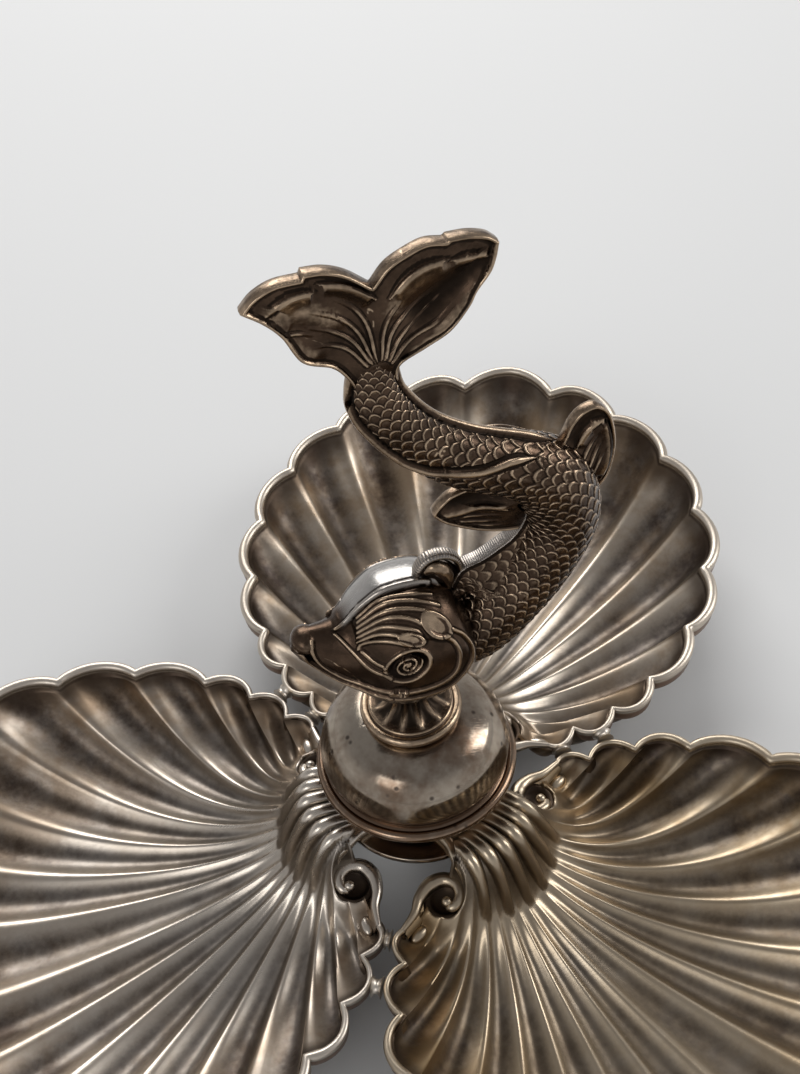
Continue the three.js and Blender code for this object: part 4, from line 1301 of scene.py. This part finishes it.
def addFin(shape, name):
    # a cast fin: thick rounded edge, a groove, a second ridge, and raised rays on a thin web
    fin = fins[name]
    outline = np.vstack([smoothLine(run, 18) for run in fin["outline"]])
    root = np.array(fin["root"], float)
    share = 1 - (1 - np.linspace(0, 1, finEdge["steps"])) ** finEdge["crowding"]
    path = root + (outline[:, None] - root) * share[:, None]
    x, z = path[..., 0], path[..., 1]
    toEdge, _ = distanceToLine(outline, x, z)
    toRoot = np.hypot(x - root[0], z - root[1])
    half = fin["webHalf"] + (fin["rootHalf"] - fin["webHalf"]) * np.exp(-((toRoot / 6) ** 2))
    relief = np.full(x.shape, 0.4)
    for wave, width, rise in fin["waves"]:
        gap, along = distanceToLine(smoothLine(wave, 8), x, z)
        swell = rise * np.exp(-((gap / width) ** 2)) * smoothStep(0, 0.25, along)
        half += swell
        relief += 0.85 * swell
    rayHalf = finEdge["rayHalfWidth"]
    for mark in fin["rays"]:
        gap, along = distanceToLine(smoothLine(mark, 8), x, z)
        fade = 0.15 + 0.85 * (1 - smoothStep(0.55, 1, along))
        ridge = roundRidge(gap, rayHalf)
        half += rayHalf * ridge * fade
        relief = np.where(ridge > 0, np.maximum(relief, 0.9 * ridge * fade), relief)
        beside = (ridge == 0) & (gap < rayHalf + finEdge["rayGroove"] * fade)
        relief = np.where(beside, relief * (1 - 0.75 * fade), relief)
    for mark in fin["ridges"]:
        # steep towards the rim, a soft slope towards the web
        line = smoothLine(mark, 8)
        gap, along = distanceToLine(line, x, z)
        lineToEdge, _ = distanceToLine(outline, line[:, 0], line[:, 1])
        inner = toEdge > np.interp(along, np.linspace(0, 1, len(line)), lineToEdge)
        fade = 0.3 + 0.7 * np.sin(math.pi * np.clip(along, 0.02, 0.98)) ** 0.45
        soft = np.exp(-((gap / finEdge["ridgeSoft"]) ** 2))
        soft = soft * smoothStep(0, 0.12, along) * (1 - smoothStep(0.88, 1, along))
        ridge = np.where(inner, soft, roundRidge(gap, finEdge["ridgeSteep"] * fade))
        half += finEdge["ridgeHeight"] * ridge * fade
        relief = np.where(ridge > 0, np.maximum(relief, 0.95 * ridge), relief)
        relief = np.where((ridge == 0) & ~inner & (gap < 1.5 * fade), 0.08, relief)
    rim = roundRidge(toEdge - finEdge["rimMiddle"], finEdge["rimHalfWidth"])
    onRim = toEdge < finEdge["rimEnd"]
    rimHalf = np.maximum(fin["webHalf"] + (fin["rimHalf"] - fin["webHalf"]) * rim, 0.02)
    half = np.where(onRim, rimHalf, half)
    relief = np.where(onRim, 0.5 + 0.5 * rim, relief)
    relief = np.where(~onRim & (toEdge < finEdge["grooveEnd"]), np.minimum(relief, 0.12), relief)
    half[:, -1] = 0
    front, back = np.stack([x, -half, z], -1), np.stack([x, half, z], -1)
    relief = np.concatenate([relief, relief[:, ::-1]], 1)
    addGrid(shape, np.concatenate([front, back[:, ::-1]], 1), relief=relief, columnLoop=True, capped=True)


crest = {
    "band": [(4, 33.5), (4.8, 37), (7.2, 39.4), (10.8, 39.2), (13.4, 36.8), (14.1, 33), (13, 29),
             (11.6, 26.2)],
    "halfWidth": 1.7, "thickness": 0.75, "millPitch": 0.62,
    "drop": [(5.8, 36.2), (7.8, 37.2), (9.8, 35.8), (11, 32.8), (11.2, 29.2)],
    "dropRadii": (0.6, 1.7, 2.0, 1.5, 0.6), "dropSide": 1.4,
    "hollowShade": (8.8, 0, 31.6), "hollowShadeRadii": (5.0, 1.5, 6.0),
}


def addCrest(shape):
    # a curled leaf behind the brow: a milled band round a hollow, with a drop in each side of it, and a
    # dark ball in the hollow as painted shade
    line = smoothLine(crest["band"], 24)
    milled = np.abs(np.sin(math.pi * lengthsAlong(line) / crest["millPitch"]))[:, None]
    angle = fullTurn(28)
    fade = np.sqrt(np.clip(1 - np.linspace(-1, 1, len(line)) ** 8, 0.03, 1))[:, None]
    across = crest["halfWidth"] * fade * np.sign(np.cos(angle)) * np.abs(np.cos(angle)) ** 0.5
    lift = crest["thickness"] * fade * np.sin(angle) * (1 + 0.25 * milled * (np.sin(angle) > 0))
    grid = sweepAlong(line, across, lift - 0.04 * across**2)
    onTop = (np.sin(angle) > -0.1) + 0 * across
    relief = onTop * (0.5 + 0.4 * milled) + (1 - onTop) * 0.1
    addGrid(shape, grid, relief=relief, outside=0.5 * onTop, columnLoop=True, capped=True)
    path = smoothLine(crest["drop"], 8)
    spots = np.linspace(0, 1, len(crest["dropRadii"]))
    radii = np.interp(np.linspace(0, 1, len(path)), spots, crest["dropRadii"])
    for side in (-1, 1):
        drop = np.stack([path[:, 0], side * crest["dropSide"] + 0 * path[:, 0], path[:, 1]], -1)
        addTube(shape, drop, radii, 20, 0.88)
    addBall(shape, crest["hollowShade"], crest["hollowShadeRadii"], 0.05)


def makeDolphin():
    finish = oxidisedSilver("oxidised_silver", 0.0)
    body, head, tail, sideFins = [newShape() for _ in range(4)]
    grid, relief = bodyShape()
    addGrid(body, grid, relief=relief, columnLoop=True, capped=True)
    addMane(body)
    grid, relief, platingAndSheen = headShape()
    addGrid(head, grid, relief=relief, outside=platingAndSheen, columnLoop=True, capped=True)
    addCrest(head)
    addBall(head, dolphin["snoutBall"], dolphin["snoutRadii"], 0.6)
    addFin(tail, "tail")
    addFin(sideFins, "inner")
    addFin(sideFins, "outer")
    for name, shape in (("body", body), ("head", head), ("tail", tail), ("fins", sideFins)):
        setPiece("dolphin_" + name, shape, finish, "silver_handle", "dolphin_handle",
                 place=(middleX, 0, chinSeat), sharpAngle=80)
    print("dolphin made")


# Small pieces: feet, solder bridges, hub plate and fastenings

ballFoot = {"radius": 4.2, "flat": 2.4, "neck": 2.3, "topCut": 2.1, "neckHeight": 1.1}


def makeFeet():
    finish = bunSilver()
    ball, flat, neck = ballFoot["radius"], ballFoot["flat"], ballFoot["neck"]
    start, end = math.asin(flat / ball), math.pi - math.asin(neck / ball)
    for name in dish["angles"]:
        x, y, _, top, _ = measure(*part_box("ball_foot_" + name))
        top -= ballFoot["topCut"]  # ends inside the fluted sheet
        rise = (top - ballFoot["neckHeight"]) / (math.cos(start) - math.cos(end))
        turns = math.degrees(start) - 90, math.degrees(end) - 90
        bulge = arc((0, rise * math.cos(start)), (ball, rise), *turns, 24)
        profile = [(0, 0.25), (flat * 0.7, 0.2), (flat * 0.8, 0), (flat, 0)] + bulge[1:]
        profile += [(neck, top - 0.7), (neck + 0.35, top - 0.25), (neck + 0.6, top), (0, top)]
        setPiece("turned_foot_" + name, turnedShape(profile, 48), finish, "silver_trim",
                 "ball_foot_" + name, place=(x, y, 0))
    print("feet made")


solder = {"angles": {"left_back": 120, "back_right": 0, "right_left": -120}, "waist": 1.15, "flare": 0.5}


def makeBridges():
    # short blobs of solder, drawn in at the middle and uneven where they froze
    finish = shellSilver("left")
    along = np.linspace(-1, 1, 21)[:, None]
    turn = fullTurn(40)
    uneven = 1 + 0.05 * np.sin(2 * turn + 2 * along) + 0.03 * np.sin(3 * turn - 3 * along)
    for pair, angle in solder["angles"].items():
        for spot in ("outer", "inner"):
            node = "bridge_" + pair + "_" + spot
            low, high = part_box(node)
            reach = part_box("bridge_back_right_" + spot)[1].y / mm
            radius = (high.z - low.z) / 2 / mm * (solder["waist"] + solder["flare"] * along**2) * uneven
            grid = np.stack([radius * np.cos(turn), reach * along + 0 * turn, radius * np.sin(turn)], -1)
            shape = oneGrid(grid, relief=0.95, outside=0.3, columnLoop=True, capped=True)
            setPiece("solder_" + pair + "_" + spot, shape, finish, "silver_trim", node,
                     turn=math.radians(angle), place=tuple((low + high) / 2 / mm))
    print("solder bridges made")


def plateProfile(edge, bottom, top, inset, grooves=()):
    # a flat ring round the rod with eased edges; grooves in its underside: share of its radius, depth
    profile = [(rodBore, bottom)]
    for share, depth in grooves:
        sides = edge * (share - 0.02), edge * (share + 0.02)
        profile += [(sides[0], bottom), (edge * share, bottom + depth), (sides[1], bottom)]
    easing = [(edge - inset, 0), (edge - 0.1, 0.1), (edge, 0.35)]
    profile += [(radius, bottom + rise) for radius, rise in easing]
    profile += [(radius, top - rise) for radius, rise in easing[::-1]]
    return profile + [(rodBore, top), (rodBore, bottom)]


hub = {"edgeInset": 0.35, "grooves": [(0.32, 0.12), (0.88, 0.15)]}
rivet = {"shank": 1.3, "headHeight": 1, "roundness": 88}
washerInset = 0.4
nut = {"acrossFlats": 10, "endRadius": 5.0, "cornerRadius": 5.9, "chamfer": 0.45, "bore": 3.1, "mouth": 3.5}
rod = {"pitch": 0.9, "threadDepth": 0.35, "threadLength": 10, "tip": 0.7}


def makeHub():
    _, _, bottom, top, edge = measure(*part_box("hub_plate"))
    profile = plateProfile(edge, bottom, top, hub["edgeInset"], hub["grooves"])
    setPiece("hub_disc", turnedShape(profile, 120, relief=0.55), bunSilver(), "silver_trim", "hub_plate",
             place=(middleX, 0, 0))


def makeRivets(metal):
    shank, height, roundness = rivet["shank"], rivet["headHeight"], rivet["roundness"]
    for name in dish["angles"]:
        for index in ("1", "2"):
            node = "hinge_rivet_" + name + "_" + index
            x, y, bottom, top, head = measure(*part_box(node))
            profile = arc((0, bottom + height), (head, height), -90, roundness - 90, 8)
            profile += [(head, bottom + height), (shank, bottom + height + 0.05)]
            profile += [(shank, top - height - 0.05), (head, top - height)]
            profile += arc((0, top - height), (head, height), 90 - roundness, 90, 8)
            shape = turnedShape(profile, 32, relief=0.7)
            setPiece("rivet_" + name + "_" + index, shape, metal, "steel_fastenings", node, place=(x, y, 0))


def makeWasher(metal):
    _, _, bottom, top, edge = measure(*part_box("washer"))
    shape = turnedShape(plateProfile(edge, bottom, top, washerInset), 72)
    setPiece("flat_washer", shape, metal, "steel_fastenings", "washer", place=(middleX, 0, 0))


def makeNut(metal):
    # a hexagon with its corners turned off at both ends
    _, _, bottom, top, _ = measure(*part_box("clamp_nut"))
    end, corner, chamfer = nut["endRadius"], nut["cornerRadius"], nut["chamfer"]
    bore, mouth = nut["bore"], nut["mouth"]
    angle = fullTurn(96)
    hexagon = nut["acrossFlats"] / 2 / np.cos((angle + math.pi / 6) % (math.pi / 3) - math.pi / 6)
    rows = []
    for limit, height in ((end, bottom), (corner, bottom + chamfer), (corner, top - chamfer), (end, top)):
        rows.append(ringPoints(np.minimum(hexagon, limit), height, angle))
    for radius, height in ((mouth, top), (bore, top - 0.4), (bore, bottom + 0.4), (mouth, bottom)):
        rows.append(ringPoints(radius, height, angle))
    shape = oneGrid(np.stack(rows), rowLoop=True, columnLoop=True)
    setPiece("hexagon_nut", shape, metal, "steel_fastenings", "clamp_nut",
             place=(middleX, 0, 0), sharpAngle=25)


def makeRod(metal):
    # the tie rod, threaded where it shows under the nut
    _, _, bottom, top, radius = measure(*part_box("tie_rod"))
    pitch, threadEnd = rod["pitch"], bottom + rod["threadLength"]
    threaded = np.arange(bottom + 0.5, threadEnd, pitch / 10)
    heights = np.concatenate([threaded, np.linspace(threadEnd, top, 8)])[:, None]
    angle = fullTurn(48)
    wave = np.abs(((heights / pitch - angle / (2 * math.pi)) % 1) - 0.5) * 2 * (heights < threadEnd)
    tip = ringPoints(radius - rod["tip"], bottom, angle)[None]
    grid = np.vstack([tip, ringPoints(radius - rod["threadDepth"] * wave, heights, angle)])
    relief = 0.75 - 0.5 * np.vstack([0 * wave[:1], wave])
    shape = oneGrid(grid, relief=relief, columnLoop=True, capped=True)
    setPiece("threaded_rod", shape, metal, "steel_fastenings", "tie_rod",
             place=(middleX, 0, 0), sharpAngle=35)


def makeFastenings():
    metal = brushedSteel()
    makeRivets(metal)
    makeWasher(metal)
    makeNut(metal)
    makeRod(metal)
    print("hub and fastenings made")


setCamera()
setStudio()
makeDishes()
makeDome()
makeCollar()
makeDolphin()
makeFeet()
makeBridges()
makeHub()
makeFastenings()
